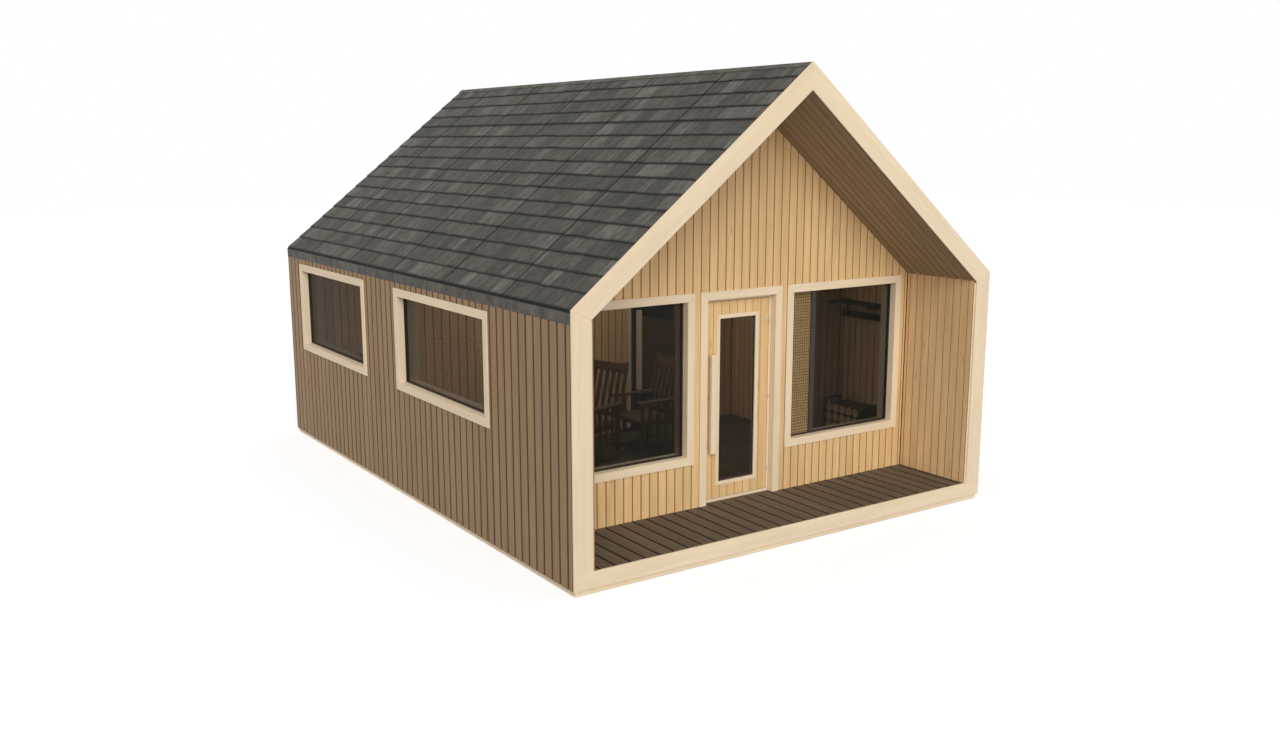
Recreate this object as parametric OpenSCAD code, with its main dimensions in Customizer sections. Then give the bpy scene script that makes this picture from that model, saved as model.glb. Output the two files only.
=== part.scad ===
// Sauna cabin: a gable cabin with an open porch under the same roof.
// The origin is on the ground at the middle of the footprint, and the porch faces -Y.

/* [Building] */
// Width over the cladding
width = 5000; // [4000:50:6000]
// Length from the portal to the rear boards
length = 7000; // [5600:50:8600]
// Height of the roof's outer edge at the eaves
eave_h = 2410; // [2000:10:3000]
// Height of the ridge above the eaves
roof_rise = 2000; // [1400:20:2600]
// Depth of the porch from the portal's face to the front wall
porch_depth = 918; // [700:10:1400]
// Height of the floor and the deck above the ground
floor_h = 200; // [160:10:400]

/* [Walls and roof] */
// Thickness of the side walls and the rear wall
side_wall_t = 220; // [160:5:300]
// Thickness of the front wall
front_wall_t = 200; // [140:5:280]
// Thickness of the wall boards outside
cladding_t = 20; // [15:1:28]
// Thickness of the roof from its top to the ceiling
roof_t = 200; // [140:5:300]
// Thickness of the roof covering
cover_t = 20; // [12:1:30]
// Height of the ground sills
sill_h = 50; // [30:5:100]
// Width of the ground sills
sill_w = 150; // [100:10:200]
// Inset of the sills behind the cladding
sill_inset = 20; // [10:5:40]
// Number of sills across the cabin
cross_sills = 5; // [3:1:8]
// Height of the eave board
eave_board_h = 95; // [60:5:140]

/* [Portal and deck] */
// Width of the portal's posts and rafters
portal_w = 190; // [120:5:240]
// Thickness of the portal, its edge board and the boards behind it
portal_t = 20; // [15:1:30]
// Thickness of the deck boards
deck_t = 35; // [22:1:45]
// Width of a deck joist
joist_w = 45; // [36:1:60]
// Number of deck joists
joists = 3; // [2:1:5]

/* [Openings] */
// Width of the boards around windows and the front door
trim_w = 82; // [50:2:110]
// How far those boards stand out from the wall
trim_t = 12; // [8:1:18]
// Offset of the front door from the middle
door_x = -12; // [-200:4:200]
// Width of the front door's opening
door_w = 850; // [750:10:950]
// Gap between the side wall's top and the boards over the front openings
head_gap = 12; // [5:1:60]
// Gap between the door's boards and a front window's boards
door_gap = 72; // [40:4:200]
// Gap between a front window's boards and the porch's side
porch_side_gap = 88; // [40:4:200]
// Height of the front windows' sill
front_sill_z = 725; // [500:10:1000]
// Height of the side windows' sill
side_sill_z = 1240; // [900:10:1500]
// Gap over a side window, under the roof slab and the eave board
eave_gap = 1; // [0.5:0.5:40]
// Distance from the portal to the first side window's boards
side_front_gap = 1460; // [1200:20:1900]
// Distance between the side windows' boards
side_mid_gap = 840; // [700:20:1200]
// Distance from the last side window's boards to the rear
side_rear_gap = 460; // [360:20:800]
// Thickness of the lining inside a window's opening
lining_t = 18; // [12:1:25]
// Depth of the glazing behind the wall's face
glazing_back = 66; // [50:1:80]
// Depth of the glazing bars
glazing_d = 36; // [32:1:60]
// Width of the glazing bars
glazing_w = 12; // [10:1:20]
// Thickness of a glass unit
glass_t = 24; // [16:1:28]
// Width of the woven screen in the right front window
screen_w = 300; // [120:10:400]
// Width of the bar beside the screen
mullion_w = 60; // [40:5:90]

/* [Front door] */
// Depth of the leaf behind the wall's face
leaf_back = 60; // [40:5:80]
// Thickness of the leaf
leaf_t = 45; // [40:1:60]
// Width of the door frame beside the leaf
jamb_w = 27; // [22:1:40]
// Gap around the leaf
leaf_gap = 5; // [5:1:8]
// Height of the threshold
threshold_h = 30; // [20:5:60]
// Width of the leaf's glass
pane_w = 447; // [300:10:520]
// Height of the glass above the leaf's bottom edge
pane_low = 164; // [120:10:400]
// Distance from the glass to the leaf's top edge
pane_high = 168; // [120:10:400]
// Width of the bead around the glass
bead_w = 37; // [24:1:50]
// How far the bead stands out from the leaf
bead_t = 6; // [3:1:10]
// Width of a handle bar
handle_w = 66; // [40:2:80]
// Depth of a handle bar
handle_d = 38; // [25:1:50]
// Length of a handle bar
handle_h = 987; // [500:10:1300]
// Height of a handle's lower end above the ground
handle_z = 713; // [500:10:900]
// Gap for the fingers behind a handle
grip_gap = 30; // [25:1:50]
// Distance from the leaf's free edge to the front door's handle
handle_inset = 25; // [15:1:60]

/* [Hinges] */
// Radius of a hinge barrel
barrel_r = 5; // [4:0.5:8]
// Radius of a hinge pin
pin_r = 2.5; // [2:0.25:4]
// Length of a hinge barrel
barrel_h = 90; // [60:5:120]
// Thickness of a hinge plate
plate_t = 2.5; // [2:0.25:4]
// Width of a hinge plate on a leaf
plate_w = 36; // [25:1:60]
// Distance from a leaf's ends to its outer hinges
hinge_inset = 180; // [120:10:300]

/* [Rooms] */
// Distance from the first side window's boards to the sauna's partition
partition_gap = 330; // [200:5:400]
// Thickness of the partition and the wing wall
partition_t = 100; // [70:5:140]
// Distance of the sauna door's frame from the middle
sauna_door_x = 649; // [300:10:900]
// Width of the sauna door's frame
sauna_door_w = 790; // [690:10:890]
// Width of the boards of that frame
sauna_jamb_w = 47; // [35:1:60]
// Thickness of the sauna door's glass
sauna_glass_t = 8; // [6:1:12]
// Distance from the front wall to the wing wall
wing_gap = 785; // [600:10:1000]
// Length of the wing wall
wing_len = 900; // [500:10:1000]

/* [Furniture] */
// Width of a rocking chair
chair_w = 560; // [500:10:640]
// Height of a rocking chair
chair_h = 1080; // [1000:10:1200]
// Height of a rocking chair's seat
seat_h = 420; // [360:10:460]
// Height of a rocking chair's arms
arm_h = 640; // [580:10:700]
// Thickness of the chairs' sticks
stick_t = 32; // [24:1:40]
// Height of the hat shelf
shelf_z = 1950; // [1700:10:2050]
// Depth of the hat shelf
shelf_d = 280; // [200:10:320]
// Height of the log rack
log_rack_h = 640; // [400:10:800]
// Depth of the log rack from the side wall
log_rack_d = 320; // [250:10:400]
// Radius of a log
log_r = 52; // [40:2:60]
// Height of the sauna bench above the ground
bench_z = 1100; // [900:10:1200]
// Depth of the sauna bench
bench_d = 600; // [450:10:700]
// Number of boards along the bench
bench_boards = 5; // [4:1:7]
// Thickness of a bench board
bench_t = 28; // [22:1:35]

/* [Hidden] */
$fn = 32;

// Small overlap that joins a cut cleanly
cut = 1;
// Play between pieces that stand side by side
play = 0.3;

// Colours
c_trim = [0.90, 0.81, 0.68];
c_front = [0.80, 0.64, 0.42];
c_side = [0.52, 0.43, 0.35];
c_deck = [0.36, 0.31, 0.25];
c_roof = [0.30, 0.29, 0.27];
c_dark = [0.14, 0.14, 0.14];
c_glass = [0.20, 0.20, 0.19, 0.6];
c_steel = [0.60, 0.60, 0.60];
c_chair = [0.35, 0.27, 0.20];

// The building's outline
half_w = width / 2;
front_y = -length / 2;
rear_y = length / 2;
slope = roof_rise / half_w;
slope_len = sqrt(1 + slope * slope);
roof_v = roof_t * slope_len;
cover_v = cover_t * slope_len;
back_y = rear_y - cladding_t;
portal_back = front_y + portal_t;
room_half = half_w - side_wall_t;
eave_in = half_w - cladding_t;

// Height of the roof's outer surface, x being the distance from the middle
function roof_z(x) = eave_h + slope * (half_w - abs(x));
function slab_top(x) = roof_z(x) - cover_v;
function ceiling_z(x) = roof_z(x) - roof_v;

wall_top = ceiling_z(room_half);
eave_board_z = slab_top(half_w) - eave_board_h;
wall_face = front_y + porch_depth;
wall_inner = wall_face + front_wall_t;
rear_inner = rear_y - side_wall_t;

// Openings
head_z = wall_top - head_gap - trim_w;
front_win_w = room_half - door_w / 2 - door_gap - porch_side_gap - 3 * trim_w;
front_win_x = door_w / 2 + 2 * trim_w + door_gap + front_win_w / 2;
front_windows = [door_x - front_win_x, door_x + front_win_x];
side_head_z = min(ceiling_z(eave_in) - lining_t, eave_board_z - trim_w) - eave_gap;
side_outer = (length - side_front_gap - side_mid_gap - side_rear_gap) / 2;
side_win_w = side_outer - 2 * trim_w;
side_windows = [
    front_y + side_front_gap + side_outer / 2,
    rear_y - side_rear_gap - side_outer / 2
];
mullion_x0 = front_windows[1] - front_win_w / 2 + glazing_w + screen_w;
glass_y = wall_face + glazing_back + (glazing_d - glass_t) / 2;
// How deep the glass sits in its bars
glass_bite = 6;

// Front door
leaf_x0 = door_x - door_w / 2 + jamb_w + leaf_gap;
leaf_x1 = door_x + door_w / 2 - jamb_w - leaf_gap;
leaf_y = wall_face + leaf_back;
leaf_z0 = floor_h + threshold_h + leaf_gap;
leaf_z1 = head_z - jamb_w - leaf_gap;
pane_x = (leaf_x0 + leaf_x1) / 2;
pane_z0 = leaf_z0 + pane_low;
pane_z1 = leaf_z1 - pane_high;
hinge_x = leaf_x1 + leaf_gap / 2;
hinge_y = leaf_y - barrel_r;
standoff = 30;

// Sauna door
partition_y = front_y + side_front_gap + side_outer + partition_gap;
sauna_x0 = sauna_door_x + sauna_jamb_w + leaf_gap;
sauna_x1 = sauna_door_x + sauna_door_w - sauna_jamb_w - leaf_gap;
sauna_z0 = floor_h + leaf_gap;
sauna_z1 = head_z - sauna_jamb_w - leaf_gap;
sauna_hinge_x = sauna_x1 + leaf_gap / 2;
sauna_hinge_y = partition_y - barrel_r;
sauna_handle_x = sauna_x0 + 44;

// Furniture
wing_y = wall_inner + wing_gap;
seat_d = 470;
back_lean = 14;
rocker_r = 1150;
// Gap between the bench's boards, its posts and beams, and the bays between its frames
bench_gap = 12;
bench_post = 60;
bench_beam = 90;
bench_bays = 3;
// The rockers reach past the legs in front and, further, behind
rocker_ys = [for (i = [0 : 12]) -seat_d / 2 - 70 + i * (seat_d + 200) / 12];
function rocker_z(y) = rocker_r - sqrt(rocker_r * rocker_r - y * y);
// Each chair's place, as [X, distance from the partition, turn]
chair_places = [[-450, 830, -72], [290, 890, -90]];
rack_y0 = wall_inner + play;
rack_len = wing_gap - 2 * play - 40;
log_rack_y0 = wall_inner + 60;
log_rack_len = wing_gap - 140;
bar = 20;

// A box between two corners
module block(x0, x1, y0, y1, z0, z1) {
    translate([x0, y0, z0]) cube([x1 - x0, y1 - y0, z1 - z0]);
}

// A plate with an outline in XZ, from y0 to y1
module plate_xz(outline, y0, y1) {
    translate([0, y1, 0]) rotate([90, 0, 0]) linear_extrude(y1 - y0) polygon(outline);
}

// A rectangular ring in XZ around an opening of width w from z0 to z1
module ring_xz(x, w, z0, z1, edge, y0, y1) {
    difference() {
        block(x - w / 2 - edge, x + w / 2 + edge, y0, y1, z0 - edge, z1 + edge);
        block(x - w / 2, x + w / 2, y0 - cut, y1 + cut, z0, z1);
    }
}

// Places a child drawn in XZ on the outer face of a side wall, side -1 being the left one
module on_side(side, y) {
    translate([side * half_w, y, 0]) rotate([0, 0, side * 90]) children();
}

// The half of a symmetrical pair on the given side
module on_half(side) {
    mirror([side < 0 ? 0 : 1, 0, 0]) children();
}

module ground_sills() {
    y0 = front_y + sill_inset;
    y1 = rear_y - sill_inset;
    x1 = half_w - sill_inset;
    step = (y1 - y0 - sill_w) / (cross_sills - 1);
    color(c_trim) {
        block(-x1, -x1 + sill_w, y0, y1, 0, sill_h);
        block(x1 - sill_w, x1, y0, y1, 0, sill_h);
        for (i = [0 : cross_sills - 1])
            block(-x1 + sill_w + play, x1 - sill_w - play, y0 + i * step, y0 + i * step + sill_w, 0, sill_h);
    }
}

module room_floor() {
    color(c_deck) block(-room_half, room_half, wall_face, rear_inner, sill_h, floor_h);
}

module porch_deck() {
    color(c_deck) block(-room_half, room_half, portal_back, wall_face, floor_h - deck_t, floor_h);
}

module porch_joists() {
    step = (wall_face - portal_back - joist_w) / (joists - 1);
    color(c_deck) for (i = [0 : joists - 1]) {
        y = portal_back + i * step;
        block(-room_half, room_half, y, y + joist_w, sill_h, floor_h - deck_t);
    }
}

module deck_edge_board() {
    color(c_trim) block(-half_w, half_w, front_y, portal_back, sill_h, floor_h);
}

// A window's hole through a side wall, drawn at the outer face
module side_hole(side, y) {
    on_side(side, y) block(
        -side_win_w / 2 - lining_t, side_win_w / 2 + lining_t,
        -cut, side_wall_t + cut, side_sill_z - lining_t, side_head_z + lining_t
    );
}

module side_wall() {
    outline = [
        [-half_w, sill_h], [-room_half, sill_h], [-room_half, wall_top],
        [-eave_in, ceiling_z(eave_in)], [-eave_in, eave_board_z], [-half_w, eave_board_z]
    ];
    plate_xz(outline, portal_back, back_y);
}

module left_wall() {
    color(c_side) difference() {
        side_wall();
        for (y = side_windows) side_hole(-1, y);
    }
}

module right_wall() {
    color(c_side) difference() {
        on_half(1) side_wall();
        side_hole(1, side_windows[1]);
    }
}

module rear_wall() {
    gable = [
        [-room_half, sill_h], [room_half, sill_h], [room_half, wall_top],
        [0, ceiling_z(0)], [-room_half, wall_top]
    ];
    boards = [
        [-half_w, sill_h], [half_w, sill_h], [half_w, eave_board_z], [eave_in, eave_board_z],
        [eave_in, slab_top(eave_in)], [0, slab_top(0)], [-eave_in, slab_top(eave_in)],
        [-eave_in, eave_board_z], [-half_w, eave_board_z]
    ];
    color(c_side) {
        plate_xz(gable, rear_inner, back_y);
        plate_xz(boards, back_y, rear_y);
    }
}

// The front wall beside the door, from x0 to x1, around the window at x
module front_wall_side(x0, x1, x) {
    color(c_front) difference() {
        block(x0, x1, wall_face, wall_inner, floor_h, wall_top);
        block(
            x - front_win_w / 2 - lining_t, x + front_win_w / 2 + lining_t,
            wall_face - cut, wall_inner + cut, front_sill_z - lining_t, head_z + lining_t
        );
    }
}

module front_wall_left() {
    front_wall_side(-room_half, door_x - door_w / 2, front_windows[0]);
}

module front_wall_right() {
    front_wall_side(door_x + door_w / 2, room_half, front_windows[1]);
}

module front_gable() {
    outline = [
        [-room_half, wall_top], [door_x - door_w / 2, wall_top], [door_x - door_w / 2, head_z],
        [door_x + door_w / 2, head_z], [door_x + door_w / 2, wall_top], [room_half, wall_top],
        [0, ceiling_z(0)]
    ];
    color(c_front) plate_xz(outline, wall_face, wall_inner);
}

module roof_slab() {
    outline = [
        [-eave_in, ceiling_z(eave_in)], [0, ceiling_z(0)],
        [0, slab_top(0)], [-eave_in, slab_top(eave_in)]
    ];
    color(c_front) plate_xz(outline, portal_back, back_y);
}

module left_roof() {
    roof_slab();
}

module right_roof() {
    on_half(1) roof_slab();
}

module roof_cover() {
    outline = [
        [-half_w, slab_top(half_w)], [0, slab_top(0)], [0, roof_z(0)], [-half_w, roof_z(half_w)]
    ];
    color(c_roof) plate_xz(outline, portal_back, rear_y);
}

module left_roof_cover() {
    roof_cover();
}

module right_roof_cover() {
    on_half(1) roof_cover();
}

module eave_boards() {
    outline = [
        [-half_w, eave_board_z], [-eave_in, eave_board_z],
        [-eave_in, slab_top(eave_in)], [-half_w, slab_top(half_w)]
    ];
    color(c_roof) for (side = [-1, 1]) on_half(side) plate_xz(outline, portal_back, rear_y);
}

// The portal's rafter is portal_w wide across its length
portal_v = portal_w * slope_len;
portal_in = half_w - portal_w;

module portal_posts() {
    outline = [
        [-half_w, floor_h], [-portal_in, floor_h],
        [-portal_in, roof_z(portal_in) - portal_v], [-half_w, eave_h]
    ];
    color(c_trim) for (side = [-1, 1]) on_half(side) plate_xz(outline, front_y, portal_back);
}

module portal_rafter() {
    outline = [
        [-half_w, eave_h], [-portal_in, roof_z(portal_in) - portal_v],
        [0, roof_z(0) - portal_v], [0, roof_z(0)]
    ];
    color(c_trim) plate_xz(outline, front_y, portal_back);
}

module left_portal_rafter() {
    portal_rafter();
}

module right_portal_rafter() {
    on_half(1) portal_rafter();
}

// Boards around an opening, drawn with the wall's face at y
module trim_ring(x, w, z0, z1, y) {
    color(c_trim) ring_xz(x, w, z0, z1, trim_w, y - trim_t, y);
}

// The lining and the glazing bars of a window, drawn with the wall's face at y
module window_frame(x, w, z0, z1, y, wall_t) {
    g0 = y + glazing_back;
    gy = g0 + (glazing_d - glass_t) / 2;
    gw = w - 2 * glazing_w + 2 * glass_bite;
    color(c_dark) difference() {
        union() {
            ring_xz(x, w, z0, z1, lining_t, y, y + wall_t);
            ring_xz(x, w - 2 * glazing_w, z0 + glazing_w, z1 - glazing_w, glazing_w, g0, g0 + glazing_d);
        }
        block(
            x - gw / 2, x + gw / 2, gy, gy + glass_t,
            z0 + glazing_w - glass_bite, z1 - glazing_w + glass_bite
        );
    }
}

// The glass unit of a window, between x0 and x1 within its bars
module window_pane(x0, x1, z0, z1, y) {
    color(c_glass) block(
        x0 - glass_bite, x1 + glass_bite, y + glazing_back + (glazing_d - glass_t) / 2,
        y + glazing_back + (glazing_d + glass_t) / 2,
        z0 + glazing_w - glass_bite, z1 - glazing_w + glass_bite
    );
}

module front_window_trims() {
    for (x = front_windows) trim_ring(x, front_win_w, front_sill_z, head_z, wall_face);
}

// The bar between the screen and the glass of the right front window
module mullion() {
    color(c_dark) difference() {
        block(
            mullion_x0, mullion_x0 + mullion_w, wall_face + glazing_back,
            wall_face + glazing_back + glazing_d, front_sill_z, head_z
        );
        for (side = [0, 1]) translate([mullion_x0 + side * mullion_w, 0, 0]) block(
            -glass_bite, glass_bite, glass_y, glass_y + glass_t,
            front_sill_z + glazing_w - glass_bite, head_z - glazing_w + glass_bite
        );
    }
}

module front_window_frames() {
    for (x = front_windows)
        window_frame(x, front_win_w, front_sill_z, head_z, wall_face, front_wall_t);
    mullion();
}

module front_window_glass() {
    half = front_win_w / 2 - glazing_w;
    window_pane(front_windows[0] - half, front_windows[0] + half, front_sill_z, head_z, wall_face);
    window_pane(mullion_x0 + mullion_w, front_windows[1] + half, front_sill_z, head_z, wall_face);
}

// The woven screen fills the right front window's narrow light
module window_screen() {
    x0 = front_windows[1] - front_win_w / 2 + glazing_w;
    color(c_front) block(
        x0 - glass_bite, mullion_x0 + glass_bite, glass_y, glass_y + glass_t,
        front_sill_z + glazing_w - glass_bite, head_z - glazing_w + glass_bite
    );
}

// Both left windows and the right wall's rear window, as [side, place along Y]
side_window_places = [[-1, side_windows[0]], [-1, side_windows[1]], [1, side_windows[1]]];

module side_window_trims() {
    for (p = side_window_places) on_side(p[0], p[1])
        trim_ring(0, side_win_w, side_sill_z, side_head_z, 0);
}

module side_window_frames() {
    for (p = side_window_places) on_side(p[0], p[1])
        window_frame(0, side_win_w, side_sill_z, side_head_z, 0, side_wall_t);
}

module side_window_glass() {
    half = side_win_w / 2 - glazing_w;
    for (p = side_window_places) on_side(p[0], p[1])
        window_pane(-half, half, side_sill_z, side_head_z, 0);
}

module door_trim() {
    color(c_trim) difference() {
        block(
            door_x - door_w / 2 - trim_w, door_x + door_w / 2 + trim_w,
            wall_face - trim_t, wall_face, floor_h, head_z + trim_w
        );
        block(
            door_x - door_w / 2, door_x + door_w / 2,
            wall_face - trim_t - cut, wall_face + cut, floor_h - cut, head_z
        );
    }
}

// Jambs, head and threshold behind the leaf's outer face
module door_frame() {
    color(c_trim) difference() {
        block(door_x - door_w / 2, door_x + door_w / 2, leaf_y, wall_inner, floor_h, head_z);
        block(
            door_x - door_w / 2 + jamb_w, door_x + door_w / 2 - jamb_w,
            leaf_y - cut, wall_inner + cut, floor_h + threshold_h, head_z - jamb_w
        );
    }
}

module door_leaf() {
    color(c_front) difference() {
        block(leaf_x0, leaf_x1, leaf_y, leaf_y + leaf_t, leaf_z0, leaf_z1);
        block(pane_x - pane_w / 2 - bead_w / 2, pane_x + pane_w / 2 + bead_w / 2, leaf_y - cut,
            leaf_y + leaf_t + cut, pane_z0 - bead_w / 2, pane_z1 + bead_w / 2);
    }
}

module door_glass() {
    y = leaf_y + (leaf_t - glass_t) / 2;
    color(c_glass) block(pane_x - pane_w / 2 - bead_w / 2, pane_x + pane_w / 2 + bead_w / 2,
        y, y + glass_t, pane_z0 - bead_w / 2, pane_z1 + bead_w / 2);
}

// A bead on each face, reaching in to the glass and lapping over the leaf
module door_beads() {
    inner_y = leaf_y + (leaf_t + glass_t) / 2;
    color(c_trim) for (y = [[leaf_y - bead_t, leaf_y + (leaf_t - glass_t) / 2], [inner_y, leaf_y + leaf_t + bead_t]]) {
        lap = y[0] < leaf_y ? [y[0], leaf_y] : [leaf_y + leaf_t, y[1]];
        ring_xz(pane_x, pane_w, pane_z0, pane_z1, bead_w / 2, y[0], y[1]);
        ring_xz(pane_x, pane_w, pane_z0, pane_z1, bead_w, lap[0], lap[1]);
    }
}

// A handle bar on the face at y, standing out towards dir
module handle(x, y, dir) {
    color(c_trim) translate([x, y, handle_z]) {
        translate([0, dir < 0 ? -grip_gap - handle_d : grip_gap, 0]) cube([handle_w, handle_d, handle_h]);
        for (z = [standoff, handle_h - 3 * standoff])
            translate([handle_w / 2 - standoff / 2, dir < 0 ? -grip_gap : 0, z])
                cube([standoff, grip_gap, 2 * standoff]);
    }
}

module door_handles() {
    x = leaf_x0 + handle_inset;
    handle(x, leaf_y, -1);
    handle(x, leaf_y + leaf_t, 1);
}

// Heights of the lower end of the three hinges on a leaf from z0 to z1
function hinge_heights(z0, z1) = [
    z0 + hinge_inset, (z0 + z1 - barrel_h) / 2, z1 - hinge_inset - barrel_h
];
// Slack of a pin in its barrel
pin_slack = 0.05;
// Gap between the two knuckles of a hinge
knuckle_gap = 1;

// The upper knuckle and the plate on the leaf, which lies towards -X
module moving_hinge(x, y, z) {
    h = (barrel_h - knuckle_gap) / 2;
    color(c_steel) translate([x, y, z + barrel_h - h]) difference() {
        union() {
            cylinder(r = barrel_r, h = h);
            translate([-plate_w, barrel_r - plate_t, 0]) cube([plate_w, plate_t, h]);
        }
        translate([0, 0, -cut]) cylinder(r = pin_r + pin_slack, h = h + 2 * cut);
    }
}

// The lower knuckle with its pin, and the plate on the frame
module fixed_hinge(x, y, z, w) {
    h = (barrel_h - knuckle_gap) / 2;
    color(c_steel) translate([x, y, z]) {
        cylinder(r = barrel_r, h = h);
        cylinder(r = pin_r, h = barrel_h);
        translate([0, barrel_r - plate_t, 0]) cube([w, plate_t, h]);
    }
}

module door_hinge_plates() {
    for (z = hinge_heights(leaf_z0, leaf_z1)) moving_hinge(hinge_x, hinge_y, z);
}

module sauna_door_hinge_plates() {
    for (z = hinge_heights(sauna_z0, sauna_z1)) moving_hinge(sauna_hinge_x, sauna_hinge_y, z);
}

module fixed_hinge_plates() {
    for (z = hinge_heights(leaf_z0, leaf_z1))
        fixed_hinge(hinge_x, hinge_y, z, jamb_w);
    for (z = hinge_heights(sauna_z0, sauna_z1))
        fixed_hinge(sauna_hinge_x, sauna_hinge_y, z, sauna_jamb_w);
}

// The partition beside the sauna door, and the short wall in the front room
module partition_walls() {
    y1 = partition_y + partition_t;
    wing = [
        [room_half - wing_len, floor_h], [room_half, floor_h],
        [room_half, wall_top], [room_half - wing_len, ceiling_z(room_half - wing_len)]
    ];
    color(c_front) {
        block(-room_half, sauna_door_x, partition_y, y1, floor_h, head_z);
        block(sauna_door_x + sauna_door_w, room_half, partition_y, y1, floor_h, head_z);
        plate_xz(wing, wing_y, wing_y + partition_t);
    }
}

module partition_top() {
    outline = [
        [-room_half, head_z], [room_half, head_z], [room_half, wall_top],
        [0, ceiling_z(0)], [-room_half, wall_top]
    ];
    color(c_front) plate_xz(outline, partition_y, partition_y + partition_t);
}

module sauna_door_frame() {
    x0 = sauna_door_x;
    x1 = sauna_door_x + sauna_door_w;
    y1 = partition_y + partition_t;
    color(c_trim) difference() {
        block(x0, x1, partition_y, y1, floor_h, head_z);
        block(x0 + sauna_jamb_w, x1 - sauna_jamb_w, partition_y - cut, y1 + cut, floor_h - cut, head_z - sauna_jamb_w);
    }
}

module sauna_door_glass() {
    color(c_glass) block(sauna_x0, sauna_x1, partition_y, partition_y + sauna_glass_t, sauna_z0, sauna_z1);
}

module sauna_door_handles() {
    handle(sauna_handle_x, partition_y, -1);
    handle(sauna_handle_x, partition_y + sauna_glass_t, 1);
}

// A slatted bench along the sauna's rear wall, on frames that stand on the floor
module sauna_bench() {
    x1 = room_half - play;
    y1 = rear_inner - play;
    y0 = y1 - bench_d;
    step = (bench_d + bench_gap) / bench_boards;
    bay = (2 * x1 - bench_post) / bench_bays;
    under = bench_z - bench_t;
    color(c_front) {
        for (i = [0 : bench_boards - 1])
            block(-x1, x1, y0 + i * step, y0 + (i + 1) * step - bench_gap, under, bench_z);
        for (i = [0 : bench_bays]) {
            x = -x1 + i * bay;
            block(x, x + bench_post, y0 + 8, y1 - 8, under - bench_beam, under + 6);
            for (y = [y0 + 16, y1 - 16 - bench_post])
                block(x + 4, x + bench_post - 4, y, y + bench_post, floor_h, under - bench_beam + 6);
        }
    }
}

// One rocking chair, its seat facing -Y and its rockers on z = 0
module rocking_chair() {
    side_x = chair_w / 2 - stick_t / 2;
    front_leg_y = -seat_d / 2 + stick_t / 2;
    back_leg_y = seat_d / 2 - stick_t / 2;
    rail_z = 170;
    half = stick_t / 2;
    back_len = (chair_h - seat_h) / cos(back_lean);
    for (s = [-1, 1]) translate([s * side_x, 0, 0]) {
        // Rocker
        translate([-half + 3, 0, 0]) rotate([90, 0, 90]) linear_extrude(stick_t - 6) polygon(concat(
            [for (y = rocker_ys) [y, rocker_z(y)]],
            [for (i = [len(rocker_ys) - 1 : -1 : 0]) [rocker_ys[i], rocker_z(rocker_ys[i]) + 45]]
        ));
        // Front and back leg
        block(-half, half, front_leg_y - half, front_leg_y + half, 40, arm_h - 12);
        block(-half, half, back_leg_y - half, back_leg_y + half, 40, seat_h - 15);
        // Back post
        translate([0, back_leg_y, seat_h]) rotate([-back_lean, 0, 0])
            block(-half + 2, half - 2, -half + 2, half - 2, -40, back_len);
        // Lower rail and arm
        block(-half + 5, half - 5, front_leg_y, back_leg_y, rail_z, rail_z + 40);
        block(-45, 45, front_leg_y - 50, back_leg_y + 75, arm_h - 22, arm_h);
        // Slats under the arm
        for (i = [1 : 3]) translate([0, front_leg_y + i * (back_leg_y - front_leg_y) / 4, 0])
            block(-6, 6, -22, 22, rail_z + 10, arm_h - 10);
    }
    // Seat and its rails
    block(-side_x, side_x, -seat_d / 2 + 6, seat_d / 2 - 6, seat_h - 60, seat_h - 22);
    block(-side_x - 9, side_x + 9, -seat_d / 2 - 20, seat_d / 2 - 12, seat_h - 26, seat_h - 1);
    // Back rails and slats
    translate([0, back_leg_y, seat_h]) rotate([-back_lean, 0, 0]) {
        block(-side_x, side_x, -10, 10, back_len - 130, back_len - 25);
        block(-side_x, side_x, -10, 10, 45, 95);
        for (i = [-2 : 2]) translate([i * (2 * side_x) / 6, 0, 0]) block(-22, 22, -6, 6, 70, back_len - 60);
    }
}

module rocking_chairs() {
    color(c_chair) for (p = chair_places)
        translate([p[0], partition_y - p[1], floor_h]) rotate([0, 0, p[2]]) rocking_chair();
}

// Hat shelf of round bars with a row of hooks under it, on the right wall
module coat_rack() {
    x1 = room_half;
    color(c_dark) translate([0, rack_y0 + 20, 0]) {
        for (y = [60, rack_len - 90]) {
            block(x1 - 12, x1, y, y + 30, shelf_z - 200, shelf_z + 20);
            block(x1 - shelf_d, x1, y, y + 30, shelf_z - 30, shelf_z - 5);
        }
        for (i = [0 : 4]) translate([x1 - shelf_d + 12 + i * (shelf_d - 60) / 4, 0, shelf_z])
            rotate([-90, 0, 0]) cylinder(r = 9, h = rack_len - 20);
        block(x1 - 30, x1 - 12, 0, rack_len - 20, shelf_z - 190, shelf_z - 120);
        for (i = [1 : 5]) translate([x1 - 95, i * (rack_len - 20) / 6, shelf_z - 155])
            rotate([0, 90, 0]) cylinder(r = 9, h = 75);
    }
}

module log_rack() {
    x0 = room_half - log_rack_d - 20;
    x1 = room_half - 20;
    y0 = log_rack_y0;
    y1 = log_rack_y0 + log_rack_len;
    z0 = floor_h;
    color(c_dark) {
        for (x = [x0 + 40, x1 - 40 - bar], y = [y0, y1 - bar])
            block(x, x + bar, y, y + bar, z0, z0 + log_rack_h);
        for (x = [x0 + 40, x1 - 40 - bar]) block(x, x + bar, y0, y1, z0 + 60, z0 + 60 + bar);
        for (y = [y0, y1 - bar], z = [z0 + 60, z0 + log_rack_h - bar])
            block(x0 + 40, x1 - 40, y, y + bar, z, z + bar);
    }
}

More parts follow.
